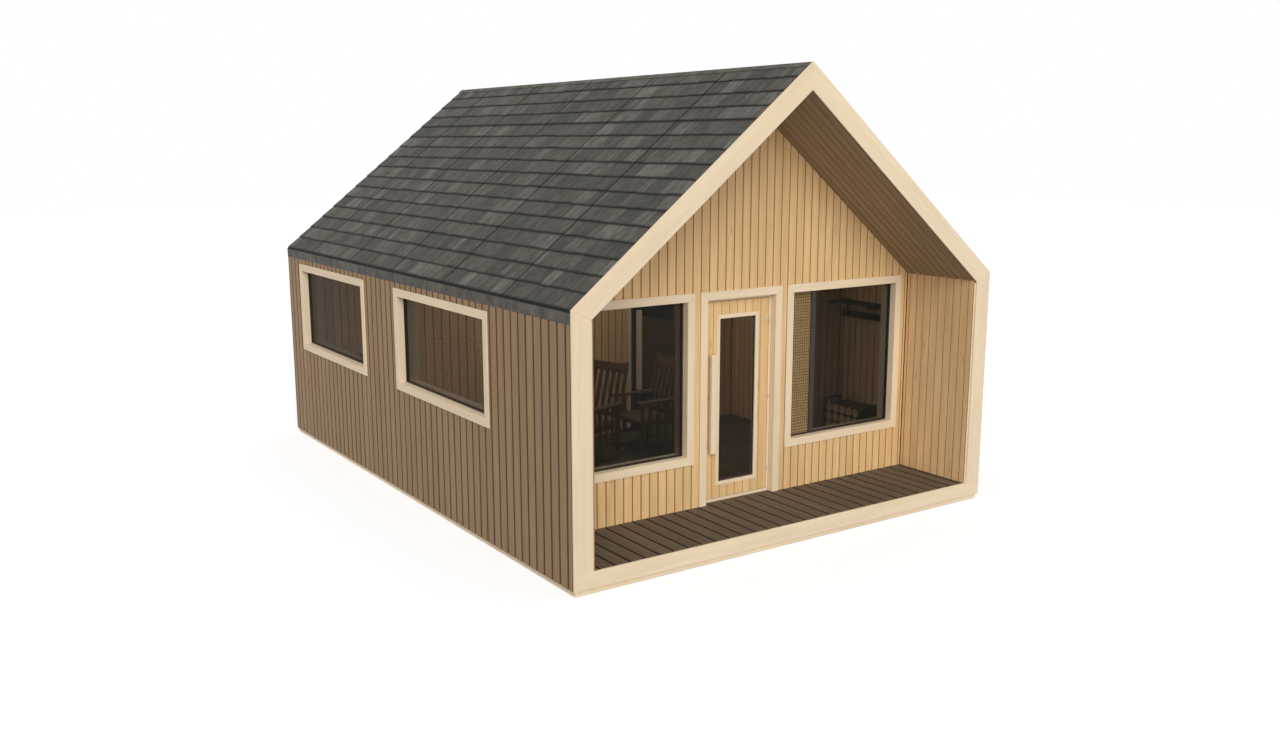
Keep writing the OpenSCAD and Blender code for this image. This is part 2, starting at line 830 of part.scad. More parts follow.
// Split logs, stacked in rows that don't touch
module logs() {
    pitch = 2 * log_r + play;
    room = log_rack_len - 2 * bar;
    n = floor((room - play) / pitch);
    rows = floor((log_rack_h - 60 - bar) / pitch);
    start = log_rack_y0 + bar + (room - n * pitch) / 2 + pitch / 2;
    color(c_side) for (row = [0 : rows - 1], i = [0 : n - 1])
        translate([room_half - 20 - log_rack_d, start + i * pitch, floor_h + 60 + bar + log_r + play + row * pitch])
            rotate([0, 90, 0]) cylinder(r = log_r, h = log_rack_d);
}

ground_sills();
room_floor();
porch_deck();
porch_joists();
deck_edge_board();
left_wall();
right_wall();
rear_wall();
front_wall_left();
front_wall_right();
front_gable();
left_roof();
right_roof();
left_roof_cover();
right_roof_cover();
eave_boards();
portal_posts();
left_portal_rafter();
right_portal_rafter();
front_window_trims();
front_window_frames();
front_window_glass();
window_screen();
side_window_trims();
side_window_frames();
side_window_glass();
door_trim();
door_frame();
door_leaf();
door_glass();
door_beads();
door_handles();
door_hinge_plates();
fixed_hinge_plates();
partition_walls();
partition_top();
sauna_door_frame();
sauna_door_glass();
sauna_door_handles();
sauna_door_hinge_plates();
sauna_bench();
rocking_chairs();
coat_rack();
log_rack();
logs();
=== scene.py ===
import math
import random

import bmesh
import bpy
from mathutils import Matrix, Vector
from mathutils.geometry import tessellate_polygon


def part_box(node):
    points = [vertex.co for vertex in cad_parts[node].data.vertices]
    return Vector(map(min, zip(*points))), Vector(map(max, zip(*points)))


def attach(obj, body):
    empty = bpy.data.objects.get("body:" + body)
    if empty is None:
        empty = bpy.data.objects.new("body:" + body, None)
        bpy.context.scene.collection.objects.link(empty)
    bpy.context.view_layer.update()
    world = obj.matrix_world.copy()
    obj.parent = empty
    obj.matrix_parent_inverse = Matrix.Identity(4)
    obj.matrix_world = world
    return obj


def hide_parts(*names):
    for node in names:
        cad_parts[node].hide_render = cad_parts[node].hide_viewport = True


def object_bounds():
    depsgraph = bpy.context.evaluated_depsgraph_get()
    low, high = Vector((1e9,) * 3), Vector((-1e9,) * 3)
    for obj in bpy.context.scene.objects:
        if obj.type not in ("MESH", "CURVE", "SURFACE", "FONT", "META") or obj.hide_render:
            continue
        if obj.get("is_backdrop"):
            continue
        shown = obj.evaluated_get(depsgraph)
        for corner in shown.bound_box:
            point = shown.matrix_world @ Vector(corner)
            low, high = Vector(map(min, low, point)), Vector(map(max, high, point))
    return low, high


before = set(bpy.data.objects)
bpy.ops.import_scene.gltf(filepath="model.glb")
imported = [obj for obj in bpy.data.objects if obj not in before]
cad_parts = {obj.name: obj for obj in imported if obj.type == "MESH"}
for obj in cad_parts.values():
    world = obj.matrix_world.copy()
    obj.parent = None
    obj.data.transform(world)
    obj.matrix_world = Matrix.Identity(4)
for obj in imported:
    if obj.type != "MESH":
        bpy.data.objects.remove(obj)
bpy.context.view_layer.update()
print("frame loaded")


class Wire:  # a node socket that adds Math nodes when it is used in arithmetic
    def __init__(self, graph, socket):
        self.graph, self.socket = graph, socket

    def output(self, name):
        return Wire(self.graph, self.socket.node.outputs[name])

    def __add__(self, other):
        return self.graph.math("ADD", self, other)

    def __sub__(self, other):
        return self.graph.math("SUBTRACT", self, other)

    def __rsub__(self, other):
        return self.graph.math("SUBTRACT", other, self)

    def __mul__(self, other):
        return self.graph.math("MULTIPLY", self, other)

    __radd__ = __add__
    __rmul__ = __mul__


class Graph:
    def __init__(self, tree):
        self.tree = tree

    def node(self, kind, settings=None, sockets=None, out=0):
        made = self.tree.nodes.new(kind)
        for name, value in (settings or {}).items():
            if name == "stops":
                ramp = made.color_ramp
                while len(ramp.elements) < len(value):
                    ramp.elements.new(1)
                for element, (place, colour) in zip(ramp.elements, value):
                    element.position, element.color = place, colour
            else:
                setattr(made, name, value)
        for key, value in (sockets or {}).items():
            if isinstance(value, Wire):
                self.tree.links.new(value.socket, made.inputs[key])
            else:
                made.inputs[key].default_value = value
        return Wire(self, made.outputs[out]) if len(made.outputs) else None

    def math(self, operation, *values):
        return self.node("ShaderNodeMath", {"operation": operation}, dict(enumerate(values)))

    def mix(self, factor, first, second, blend="MIX"):
        return self.node(
            "ShaderNodeMix", {"data_type": "RGBA", "blend_type": blend}, {0: factor, 6: first, 7: second}, 2
        )

    def vector(self, x, y, z):
        return self.node("ShaderNodeCombineXYZ", None, {0: x, 1: y, 2: z})

    def noise(self, vector, scale=1.0, detail=3.0, rough=0.5):
        return self.node(
            "ShaderNodeTexNoise", None, {"Vector": vector, "Scale": scale, "Detail": detail, "Roughness": rough}
        )

    def ramp(self, factor, stops):
        return self.node("ShaderNodeValToRGB", {"stops": stops}, {0: factor})

    def step(self, factor, low, high):  # black below low, white above high
        return self.ramp(factor, [(low, grey(0)), (high, grey(1))])

    def attribute(self, name):
        return self.node("ShaderNodeAttribute", {"attribute_name": name}, None, "Fac")

    def split(self, vector):
        return self.node("ShaderNodeSeparateXYZ", None, {0: vector})

    def objectPlace(self):
        return self.node("ShaderNodeTexCoord", None, None, "Object")

    def grainPlace(self):  # along and across a board
        parts = self.split(self.node("ShaderNodeUVMap", {"uv_map": "grain"}))
        return parts.output("X"), parts.output("Y")

    def shaded(self, share, colour, pattern, low, high, dark):  # darker where the pattern is low
        return self.mix(share, colour, self.ramp(pattern, [(low, grey(dark)), (high, grey(1))]), "MULTIPLY")


def paint(red, green, blue):  # a colour as it is seen, made linear
    def linear(level):
        level /= 255
        return level / 12.92 if level <= 0.04045 else ((level + 0.055) / 1.055) ** 2.4

    return (linear(red), linear(green), linear(blue), 1.0)


def grey(level):
    return (level, level, level, 1.0)


def newFinish(name):
    material = bpy.data.materials.new(name)
    material.use_nodes = True
    material.node_tree.nodes.clear()
    return material, Graph(material.node_tree)


def surface(graph, sockets):
    shader = graph.node("ShaderNodeBsdfPrincipled", None, sockets)
    graph.node("ShaderNodeOutputMaterial", None, {"Surface": shader})


def bump(graph, height, strength, distance):
    return graph.node("ShaderNodeBump", None, {"Strength": strength, "Distance": distance, "Height": height})


def placed(name, data):  # a new object in the scene
    made = bpy.data.objects.new(name, data)
    bpy.context.scene.collection.objects.link(made)
    return made


# camera, floor and light
cameraPlan = {"place": (-7.236, -11.409, 3.719), "turn": (78.976, 0, -34.293), "lens": 33.08}
cameraData = bpy.data.cameras.new("camera")
cameraData.sensor_width, cameraData.lens = 36, cameraPlan["lens"]
camera = placed("camera", cameraData)
camera.location = cameraPlan["place"]
camera.rotation_euler = [math.radians(angle) for angle in cameraPlan["turn"]]
bpy.context.scene.camera = camera

lightPlan = {
    "sky": 0.50,
    "suns": [
        {"from": (-0.62, -1.0, 0.80), "power": 1.25, "spread": 30},
        {"from": (-0.35, -1.0, 0.16), "power": 1.0, "spread": 40},
    ],
    "rooms": [
        {"place": (-0.3, -1.0, 3.1), "size": (2.2, 1.8), "power": 108},
        {"place": (0.0, 1.9, 3.1), "size": (2.2, 1.6), "power": 66},
    ],
}


def seenDirectly(g):  # 1 for what the eye meets, also in a mirror or through glass
    path = g.node("ShaderNodeLightPath")
    seen = g.math("MAXIMUM", path.output("Is Camera Ray"), path.output("Is Glossy Ray"))
    return g.math("MAXIMUM", seen, path.output("Is Transmission Ray"))


def lightScene(plan):
    for number, sun in enumerate(plan["suns"]):
        data = bpy.data.lights.new(f"sun{number}", "SUN")
        data.energy, data.angle = sun["power"], math.radians(sun["spread"])
        lamp = placed(f"sun{number}", data)
        lamp.rotation_mode = "QUATERNION"
        lamp.rotation_quaternion = Vector(sun["from"]).to_track_quat("Z", "Y")
    for number, room in enumerate(plan["rooms"]):
        data = bpy.data.lights.new(f"roomLight{number}", "AREA")
        data.shape, data.energy = "RECTANGLE", room["power"]
        data.size, data.size_y = room["size"]
        lamp = placed(f"roomLight{number}", data)
        lamp.location = room["place"]
        lamp.visible_camera = lamp.visible_glossy = lamp.visible_transmission = False
    world = bpy.data.worlds.new("studio")
    bpy.context.scene.world = world
    world.use_nodes = True
    world.node_tree.nodes.clear()
    g = Graph(world.node_tree)
    sky, backdrop = [
        g.node("ShaderNodeBackground", None, {"Color": grey(1), "Strength": power}) for power in (plan["sky"], 1.0)
    ]
    mixed = g.node("ShaderNodeMixShader", None, {0: seenDirectly(g), 1: sky, 2: backdrop})
    g.node("ShaderNodeOutputWorld", None, {"Surface": mixed})


lightScene(lightPlan)



def studioFloor(reach=60, height=-0.002):  # white to the eye, grey to the light
    mesh = bpy.data.meshes.new("studioFloor")
    corners = [(x * reach, y * reach, height) for x, y in ((-1, -1), (1, -1), (1, 1), (-1, 1))]
    mesh.from_pydata(corners, [], [(0, 1, 2, 3)])
    finish, g = newFinish("studioFloor")
    plain, pale = [g.node("ShaderNodeBsdfDiffuse", None, {"Color": grey(level)}) for level in (0.45, 0.85)]
    glow = g.node("ShaderNodeEmission", None, {"Color": grey(1), "Strength": 0.42})
    bright = g.node("ShaderNodeAddShader", None, {0: pale, 1: glow})
    mixed = g.node("ShaderNodeMixShader", None, {0: seenDirectly(g), 1: plain, 2: bright})
    g.node("ShaderNodeOutputMaterial", None, {"Surface": mixed})
    mesh.materials.append(finish)
    return placed("studioFloor", mesh)


studioFloor()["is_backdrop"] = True
bpy.context.scene.view_settings.view_transform = "Standard"
print("camera, floor and light made")


# finishes
def woodFinish(name, look, axis=None):
    material, g = newFinish(name)
    if axis is None:  # boards carry their own grain map, tone and groove
        along, across = g.grainPlace()
        tone, groove = g.attribute("tone"), g.attribute("groove")
    else:
        parts = g.split(g.objectPlace())
        others = [parts.output(letter) for letter in "XYZ" if letter != axis]
        along, across = parts.output(axis), others[0] + others[1]
        tone, groove = g.noise(g.vector(along * 0.2, across * 9, 0.0), 1.0, 0.0), None
    shift = tone * 61.0
    streak = g.noise(g.vector(along * 1.3, across * 24, shift), 1.0, 4.0, 0.6)
    fine = g.noise(g.vector(along * 7, across * 240, shift), 1.0, 2.0, 0.6)
    cloud = g.noise(g.vector(along * 1.1, across * 4, shift + 7.0), 1.0, 2.0)
    colour = g.mix(g.step(streak, 0.34, 0.68), look["dark"], look["light"])
    colour = g.shaded(look.get("fine", 0.35), colour, fine, 0.3, 0.7, 0.55)
    colour = g.shaded(1.0, colour, tone, 0.0, 1.0, look.get("boards", 0.84))
    colour = g.shaded(0.5, colour, cloud, 0.3, 0.7, 0.86)
    if look.get("knots"):
        cell = g.node(
            "ShaderNodeTexVoronoi", {"feature": "F1"},
            {"Vector": g.vector(along * 1.7, across * 6.5, shift), "Scale": 1.0},
        )
        dark = grey(look["knots"])
        knot = g.ramp(cell, [(0.0, dark), (0.05, dark), (0.1, grey(0))])
        colour = g.mix(knot, colour, look["knotColour"])
    # painted shade: the boards' grooved long edges are darkened towards the groove colour, near black on the side
    # walls and deck, as grooves and gaps look in shade
    if groove is not None:
        shade = g.step(groove, 0.08, 0.45)
        colour = g.mix(shade * look.get("grooveShare", 0.9), colour, look["groove"])
    height = fine * 0.5 + streak * 0.5
    rough = look.get("rough", 0.55) + fine * 0.18
    surface(g, {"Base Color": colour, "Roughness": rough, "Normal": bump(g, height, look.get("bump", 0.3), 0.0008)})
    return material


# groove: the colour of the painted shade in the boards' grooves
def woodLook(light, dark, groove=(120, 90, 60), **more):
    return {"light": paint(*light), "dark": paint(*dark), "groove": paint(*groove), **more}


knotty = {"boards": 0.9, "fine": 0.2, "knots": 0.35}
woodLooks = {
    "trimWood": woodLook(
        (247, 226, 193), (241, 217, 182), (150, 122, 86), boards=0.96, fine=0.12, rough=0.5, bump=0.2
    ),
    "frontWood": woodLook((246, 206, 148), (232, 188, 130), (128, 88, 46), knotColour=paint(160, 110, 62), **knotty),
    "sideWood": woodLook((166, 133, 94), (147, 116, 79), (14, 10, 6), boards=0.88, fine=0.25, grooveShare=0.95),
    "liningWood": woodLook((246, 208, 154), (228, 188, 136), (132, 94, 54), knotColour=paint(150, 104, 60), **knotty),
    # painted shade: the ceiling boards are the lining wood made darker, for the shade under the roof
    "ceilingWoodPaintedShade": woodLook((178, 152, 116), (158, 132, 98), (60, 42, 24), boards=0.86, fine=0.2),
    "deckWood": woodLook((116, 99, 79), (96, 81, 63), (14, 11, 9), boards=0.84, fine=0.35, rough=0.62, bump=0.5),
    "benchWood": woodLook((226, 200, 160), (204, 172, 128)),
}
finishes = {name: woodFinish(name, look) for name, look in woodLooks.items()}
finishes["chairWood"] = woodFinish("chairWood", woodLook((134, 106, 78), (96, 70, 48), fine=0.35, boards=0.8), "Z")


def roofFinish(name, tabs):
    material, g = newFinish(name)
    place = g.objectPlace()
    grain = g.noise(place, 420.0, 2.0, 0.7)
    blotch = g.noise(place, 2.6, 3.0, 0.6)
    if tabs:
        along, across = g.grainPlace()
        tone = g.attribute("tone")
        wear = g.noise(g.vector(along * 5, across * 20, tone * 50.0), 1.0, 3.0, 0.6)
        patch = g.noise(g.vector(along * 9, across * 9, tone * 23.0), 1.0, 2.0)
        colour = g.ramp(tone, [
            (0.0, paint(84, 81, 72)), (0.3, paint(96, 92, 83)), (0.55, paint(106, 101, 92)),
            (0.72, paint(104, 96, 87)), (0.85, paint(116, 112, 103)), (1.0, paint(128, 124, 115)),
        ])
        colour = g.shaded(0.9, colour, wear, 0.34, 0.64, 0.5)
        colour = g.shaded(0.8, colour, patch, 0.34, 0.64, 0.66)
        # painted shade: the tabs' side edges are darkened almost to black, as the gaps between tabs would look in
        # shade
        colour = g.mix(g.attribute("groove") * 0.9, colour, grey(0.006))
        # painted shadow: each tab is darkened along its lower edge, as the shadow line under a course, and again from
        # just under the next course's edge, as that course's contact shadow
        edge = g.ramp(g.attribute("end"), [
            (0.0, grey(0.10)), (0.05, grey(0.4)), (0.12, grey(1)), (0.76, grey(1)), (0.86, grey(0.25)),
        ])
        colour = g.mix(1.0, colour, edge, "MULTIPLY")
    else:
        colour = g.ramp(g.noise(place, 9.0, 3.0), [(0.35, paint(84, 80, 73)), (0.7, paint(116, 111, 102))])
    colour = g.shaded(0.6, colour, blotch, 0.3, 0.7, 0.78)
    colour = g.shaded(0.35, colour, grain, 0.3, 0.7, 0.5)
    surface(g, {"Base Color": colour, "Roughness": 0.92, "Normal": bump(g, grain, 0.6, 0.0015)})
    return material


finishes["shingles"] = roofFinish("shingles", True)
finishes["roofEdge"] = roofFinish("roofEdge", False)


def plainFinish(name, light, dark, rough, scale, strength=0.3, distance=0.0005, metal=0.0, stretch=(1, 1, 1)):
    material, g = newFinish(name)
    place = g.objectPlace()
    place = g.node("ShaderNodeVectorMath", {"operation": "MULTIPLY"}, {0: place, 1: stretch})
    pattern = g.noise(place, scale, 3.0, 0.6)
    wide = g.noise(place, scale * 0.07, 2.0)
    colour = g.mix(g.step(pattern, 0.35, 0.65), dark, light)
    colour = g.shaded(0.5, colour, wide, 0.3, 0.7, 0.8)
    surface(g, {
        "Base Color": colour, "Roughness": pattern * 0.2 + rough, "Metallic": metal,
        "Normal": bump(g, pattern, strength, distance),
    })
    return material


plainLooks = {
    "barPaint": (paint(52, 42, 34), paint(38, 31, 25), 0.35, 90),
    "steel": (paint(190, 190, 188), paint(150, 150, 148), 0.3, 400, 0.2, 0.0002, 1.0, (1, 1, 0.05)),
    "darkSteel": (paint(48, 48, 50), paint(34, 34, 36), 0.45, 500, 0.4, 0.0003),
    "board": (paint(96, 78, 58), paint(66, 52, 38), 0.8, 60, 0.5, 0.001),
    "weave": (paint(186, 152, 94), paint(122, 94, 52), 0.6, 160, 0.4, 0.0006),
    "underlay": (paint(20, 19, 19), paint(12, 12, 12), 0.9, 200, 0.4, 0.0008),
    "hingePaint": (paint(226, 204, 172), paint(214, 190, 156), 0.4, 300, 0.2, 0.0002),
    "bark": (paint(118, 92, 68), paint(58, 44, 32), 0.85, 46, 0.9, 0.004, 0.0, (0.25, 1, 1)),
}
finishes.update({name: plainFinish(name, *look) for name, look in plainLooks.items()})


def logEndFinish():
    material, g = newFinish("logEnd")
    across, up = g.grainPlace()
    radius = g.math("SQRT", across * across + up * up)
    rings = g.math("SINE", radius * 900.0 + g.noise(g.vector(across * 40, up * 40, 0.0)) * 5.0)
    pattern = g.step(rings * 0.5 + 0.5, 0.2, 0.8)
    colour = g.mix(pattern, paint(176, 138, 92), paint(212, 178, 128))
    surface(g, {"Base Color": colour, "Roughness": 0.75, "Normal": bump(g, rings, 0.3, 0.0006)})
    return material


finishes["logEnd"] = logEndFinish()


def glassFinish(name, cover):
    material, g = newFinish(name)
    place = g.objectPlace()
    haze = g.noise(place, 1.6, 2.0)
    surface(g, {
        "Base Color": g.mix(haze, paint(28, 31, 29), paint(34, 37, 34)),
        "Roughness": haze * 0.03 + 0.015, "Alpha": haze * 0.04 + cover, "Specular IOR Level": 0.2, "IOR": 1.12,
    })
    return material


finishes["glass"] = glassFinish("glass", 0.60)
finishes["clearGlass"] = glassFinish("clearGlass", 0.45)
print("finishes made")


# tools for boards and beams
def fromPoints(name, points, faces, materials=()):
    mesh = bpy.data.meshes.new(name)
    mesh.from_pydata(points, [], faces)
    for material in materials:
        mesh.materials.append(finishes[material])
    return mesh


def addGrain(mesh, pairs):
    uv = mesh.uv_layers.new(name="grain")
    uv.data.foreach_set("uv", [value for pair in pairs for value in pair])


def turnedOut(mesh):  # every face looks outward
    form = bmesh.new()
    form.from_mesh(mesh)
    bmesh.ops.recalc_face_normals(form, faces=form.faces)
    form.to_mesh(mesh)
    form.free()


class Joinery:  # gathers the boards and beams of one piece
    def __init__(self, seed):
        self.points, self.faces, self.grain, self.tones, self.kinds = [], [], [], [], []
        self.chance = random.Random(seed)

    def block(self, near, far, along, kind=0, tone=None):  # two matching outlines, joined
        count, start = len(near), len(self.points)
        self.points += [Vector(p) for p in near] + [Vector(p) for p in far]
        self.tones += [self.chance.random() if tone is None else tone] * (2 * count)
        faces = [list(range(count - 1, -1, -1)), list(range(count, 2 * count))]
        faces += [[i, (i + 1) % count, count + (i + 1) % count, count + i] for i in range(count)]
        self.add(start, faces, along, kind)

    def add(self, start, faces, along, kind):
        along = Vector(along).normalized()
        for face in faces:
            corners = [self.points[start + i] for i in face]
            normal = (corners[1] - corners[0]).cross(corners[2] - corners[1]).normalized()
            across = normal.cross(along)
            if across.length < 0.3:  # end grain
                across = along.orthogonal().normalized()
                self.grain += [(p.dot(across), p.dot(along.cross(across))) for p in corners]
            else:
                across.normalize()
                self.grain += [(p.dot(along), p.dot(across)) for p in corners]
            self.faces.append([start + i for i in face])
            self.kinds.append(kind)

    def box(self, low, high, along, kind=0, tone=None):
        (x0, y0, z0), (x1, y1, z1) = low, high
        near = [(x0, y0, z0), (x1, y0, z0), (x1, y1, z0), (x0, y1, z0)]
        far = [(x, y, z1) for x, y, z in near]
        self.block(near, far, along, kind, tone)

    def plate(self, outline, place, depths, along, kind=0, tone=None):  # an outline between two depths
        near = [place(a, b, depths[0]) for a, b in outline]
        far = [place(a, b, depths[1]) for a, b in outline]
        self.block(near, far, along, kind, tone)

    def ring(self, hole, edge, place, depths, kind=0, foot=True):  # mitred boards of one width round a hole
        a0, a1, b0, b1 = hole
        self.surround(hole, (a0 - edge, a1 + edge, b0 - edge if foot else b0, b1 + edge), place, depths, kind, foot)

    def surround(self, hole, outer, place, depths, kind=0, foot=True):
        (a0, a1, b0, b1), (left, right, low, high) = hole, outer
        rise, across = [Vector(place(*step, 0)) - Vector(place(0, 0, 0)) for step in ((0, 1), (1, 0))]
        boards = [
            ([(left, low), (a0, b0), (a0, b1), (left, high)], rise),
            ([(a1, b0), (right, low), (right, high), (a1, b1)], rise),
            ([(a0, b1), (a1, b1), (right, high), (left, high)], across),
        ]
        if foot:
            boards.append(([(left, low), (right, low), (a1, b0), (a0, b0)], across))
        for outline, along in boards:
            self.plate(outline, place, depths, along, kind)

    def piece(self, name, materials, bevel=0.002, segments=1):
        mesh = fromPoints(name, self.points, self.faces, materials)
        addGrain(mesh, self.grain)
        mesh.attributes.new("tone", "FLOAT", "POINT").data.foreach_set("value", self.tones)
        for plain in ("groove", "end"):
            mesh.attributes.new(plain, "FLOAT", "POINT")
        mesh.polygons.foreach_set("material_index", self.kinds)
        turnedOut(mesh)
        piece = placed(name, mesh)
        if bevel:
            chamfer = piece.modifiers.new("chamfer", "BEVEL")
            chamfer.width, chamfer.segments, chamfer.limit_method = bevel, segments, "ANGLE"
            chamfer.angle_limit = math.radians(35)
            settle(piece)
        return piece

    def fit(self, name, materials, nodes, bevel=0.002, segments=1, body="cabin"):
        return hand(self.piece(name, materials, bevel, segments), nodes, body)


def settle(piece, drop=()):  # the evaluated shape becomes the piece's own plain mesh
    graph = bpy.context.evaluated_depsgraph_get()
    mesh = bpy.data.meshes.new_from_object(piece.evaluated_get(graph), preserve_all_data_layers=True, depsgraph=graph)
    piece.modifiers.clear()
    piece.data = mesh
    for name in drop:
        if name in mesh.attributes:
            mesh.attributes.remove(mesh.attributes[name])
    mesh.name = piece.name
    return piece


def hand(piece, nodes, body="cabin"):
    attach(piece, body)
    if nodes:
        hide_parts(*nodes)
    return piece


def joined(name, pieces):
    materials, form = [], bmesh.new()
    for piece in pieces:
        mesh = piece.data
        for material in mesh.materials:
            if material not in materials:
                materials.append(material)
        slots = [materials.index(material) for material in mesh.materials]
        mesh.polygons.foreach_set("material_index", [slots[p.material_index] for p in mesh.polygons])
        form.from_mesh(mesh)
        bpy.data.objects.remove(piece)
    mesh = bpy.data.meshes.new(name)
    form.to_mesh(mesh)
    form.free()
    for material in materials:
        mesh.materials.append(material)
    return placed(name, mesh)


# Board field: each point becomes one board with grooved long edges, cut off under the roof's line
boardSizes = {
    "Thickness": 0.02, "Gap": 0.001, "Chamfer": 0.005, "Groove": 0.005, "Peak": 100.0, "Slope": 0.0, "Lift": 0.0,
}


def boardTree():
    tree = bpy.data.node_groups.new("boardField", "GeometryNodeTree")
    kinds = {"Geometry": "Geometry", **dict.fromkeys(boardSizes, "Float"), "Seed": "Int", "Finish": "Material"}
    for name, kind in kinds.items():
        socket = tree.interface.new_socket(name, in_out="INPUT", socket_type=f"NodeSocket{kind}")
        if name in boardSizes:
            socket.default_value = boardSizes[name]
    tree.interface.new_socket("Geometry", in_out="OUTPUT", socket_type="NodeSocketGeometry")
    g = Graph(tree)
    given = g.node("NodeGroupInput")

    def stored(geometry, name, value, kind="FLOAT", domain="POINT"):
        return g.node(
            "GeometryNodeStoreNamedAttribute", {"data_type": kind, "domain": domain},
            {"Geometry": geometry, "Name": name, "Value": value},
        )

    def named(name, kind="FLOAT"):
        return g.node("GeometryNodeInputNamedAttribute", {"data_type": kind}, {"Name": name})

    place = g.node("GeometryNodeInputPosition")
    points = stored(given.output("Geometry"), "seat", place, "FLOAT_VECTOR")
    tone = g.node(
        "FunctionNodeRandomValue", {"data_type": "FLOAT"},
        {2: 0.0, 3: 1.0, "ID": named("board", "INT"), "Seed": given.output("Seed")}, 1,
    )
    points = stored(points, "tone", tone)
    cube = g.node("GeometryNodeMeshCube", None, {"Size": (1, 1, 1), "Vertices X": 4, "Vertices Y": 2, "Vertices Z": 2})
    cube = stored(cube, "corner", place, "FLOAT_VECTOR")
    boards = g.node("GeometryNodeInstanceOnPoints", None, {"Points": points, "Instance": cube}, "Instances")
    boards = g.node("GeometryNodeRealizeInstances", None, {"Geometry": boards})
    corner, seat = g.split(named("corner", "FLOAT_VECTOR")), g.split(named("seat", "FLOAT_VECTOR"))
    across, depth, along = corner.output("X"), corner.output("Y"), corner.output("Z")
    side = g.math("SIGN", across)
    outer = g.math("GREATER_THAN", g.math("ABSOLUTE", across), 0.3)
    onLeft = g.math("LESS_THAN", across, 0.0)
    cut = onLeft * named("leftCut") + (1.0 - onLeft) * named("rightCut")
    edge = outer * cut
    front = g.math("LESS_THAN", depth, 0.0)
    half = named("wide") * 0.5 - cut * given.output("Gap") * 0.5
    reach = g.math("MAXIMUM", half - (1.0 - outer) * given.output("Chamfer"), half * 0.1)
    x = seat.output("X") + side * reach
    y = seat.output("Y") + front * edge * given.output("Groove") + (1.0 - front) * given.output("Thickness")
    y = y - (0.5 - along) * given.output("Lift")
    roofLine = given.output("Peak") - given.output("Slope") * g.math("ABSOLUTE", x)
    z = g.math("MINIMUM", seat.output("Z") + along * named("long"), roofLine)
    boards = stored(boards, "groove", edge)
    boards = stored(boards, "end", along + 0.5)
    boards = g.node("GeometryNodeSetPosition", None, {"Geometry": boards, "Position": g.vector(x, y, z)})
    now = g.split(place)
    grain = g.vector(now.output("Z"), now.output("X") + now.output("Y"), 0.0)
    boards = stored(boards, "grain", grain, "FLOAT2", "CORNER")
    boards = g.node("GeometryNodeSetMaterial", None, {"Geometry": boards, "Material": given.output("Finish")})
    g.node("NodeGroupOutput", None, {"Geometry": boards})
    return tree


hairline = 0.001  # kept between pieces that would share a face
boardField = boardTree()
fieldInputs = {item.name: item.identifier for item in boardField.interface.items_tree if item.in_out == "INPUT"}


def boardPlan(start, end, joints, low, high, openings=(), splits=()):
    sliver = 0.012
    edges = [start] + sorted(j for j in joints if start + sliver < j < end - sliver) + [end]
    plan = []
    for number, (a, b) in enumerate(zip(edges, edges[1:])):
        inside = {c for o in openings for c in o[:2]} | set(splits)
        cuts = [a] + sorted(c for c in inside if a + hairline / 2 < c < b - hairline / 2) + [b]
        for c, d in zip(cuts, cuts[1:]):
            spans, middle = [(low, high)], (c + d) / 2
            for x0, x1, z0, z1 in openings:
                if x0 < middle < x1:
                    parts = [part for s, t in spans for part in ((s, min(t, z0)), (max(s, z1), t))]
                    spans = [part for part in parts if part[1] - part[0] > hairline]
            for s, t in spans:
                plan.append((middle, (s + t) / 2, d - c, t - s, number, float(c == a), float(d == b)))
    return plan


def facing(normal, along, origin):  # local X across, Y into the wall, Z along the boards
    back, along = -Vector(normal).normalized(), Vector(along).normalized()
    side = back.cross(along)
    place = Matrix((side, back, along)).transposed().to_4x4()
    place.translation = Vector(origin)
    return place


def layBoards(name, plan, place, finish, seed=1, **sizes):
    mesh = fromPoints(name, [(p[0], 0, p[1]) for p in plan], [])
    for number, attribute in ((2, "wide"), (3, "long"), (5, "leftCut"), (6, "rightCut")):
        mesh.attributes.new(attribute, "FLOAT", "POINT").data.foreach_set("value", [p[number] for p in plan])
    mesh.attributes.new("board", "INT", "POINT").data.foreach_set("value", [p[4] for p in plan])
    piece = placed(name, mesh)
    field = piece.modifiers.new("boards", "NODES")
    field.node_group = boardField
    for key, value in {**boardSizes, **sizes, "Seed": seed, "Finish": finishes[finish]}.items():
        field[fieldInputs[key]] = value
    settle(piece, ("seat", "corner", "wide", "long", "leftCut", "rightCut", "board"))
    piece.data.transform(place)
    return piece


def jointsFrom(first, pitch, start, end):
    count = int((end - start) / pitch) + 3
    base = first - math.ceil((first - start) / pitch) * pitch
    return [base + k * pitch for k in range(count + 1)]


def solidBoxes(node):  # the box of each separate solid of a CAD node
    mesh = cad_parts[node].data
    parent = {}

    def root(key):
        while parent[key] != key:
            parent[key] = parent[parent[key]]
            key = parent[key]
        return key

    keys = [tuple(round(c, 5) for c in v.co) for v in mesh.vertices]
    for key in keys:
        parent.setdefault(key, key)
    for polygon in mesh.polygons:
        first = keys[polygon.vertices[0]]
        for index in polygon.vertices[1:]:
            parent[root(keys[index])] = root(first)
    groups = {}
    for key in parent:
        groups.setdefault(root(key), []).append(key)
    boxes = [(Vector(map(min, zip(*keys))), Vector(map(max, zip(*keys)))) for keys in groups.values()]
    return sorted(boxes, key=lambda b: (round(b[0].x, 3), round(b[0].y, 3), round(b[0].z, 3)))


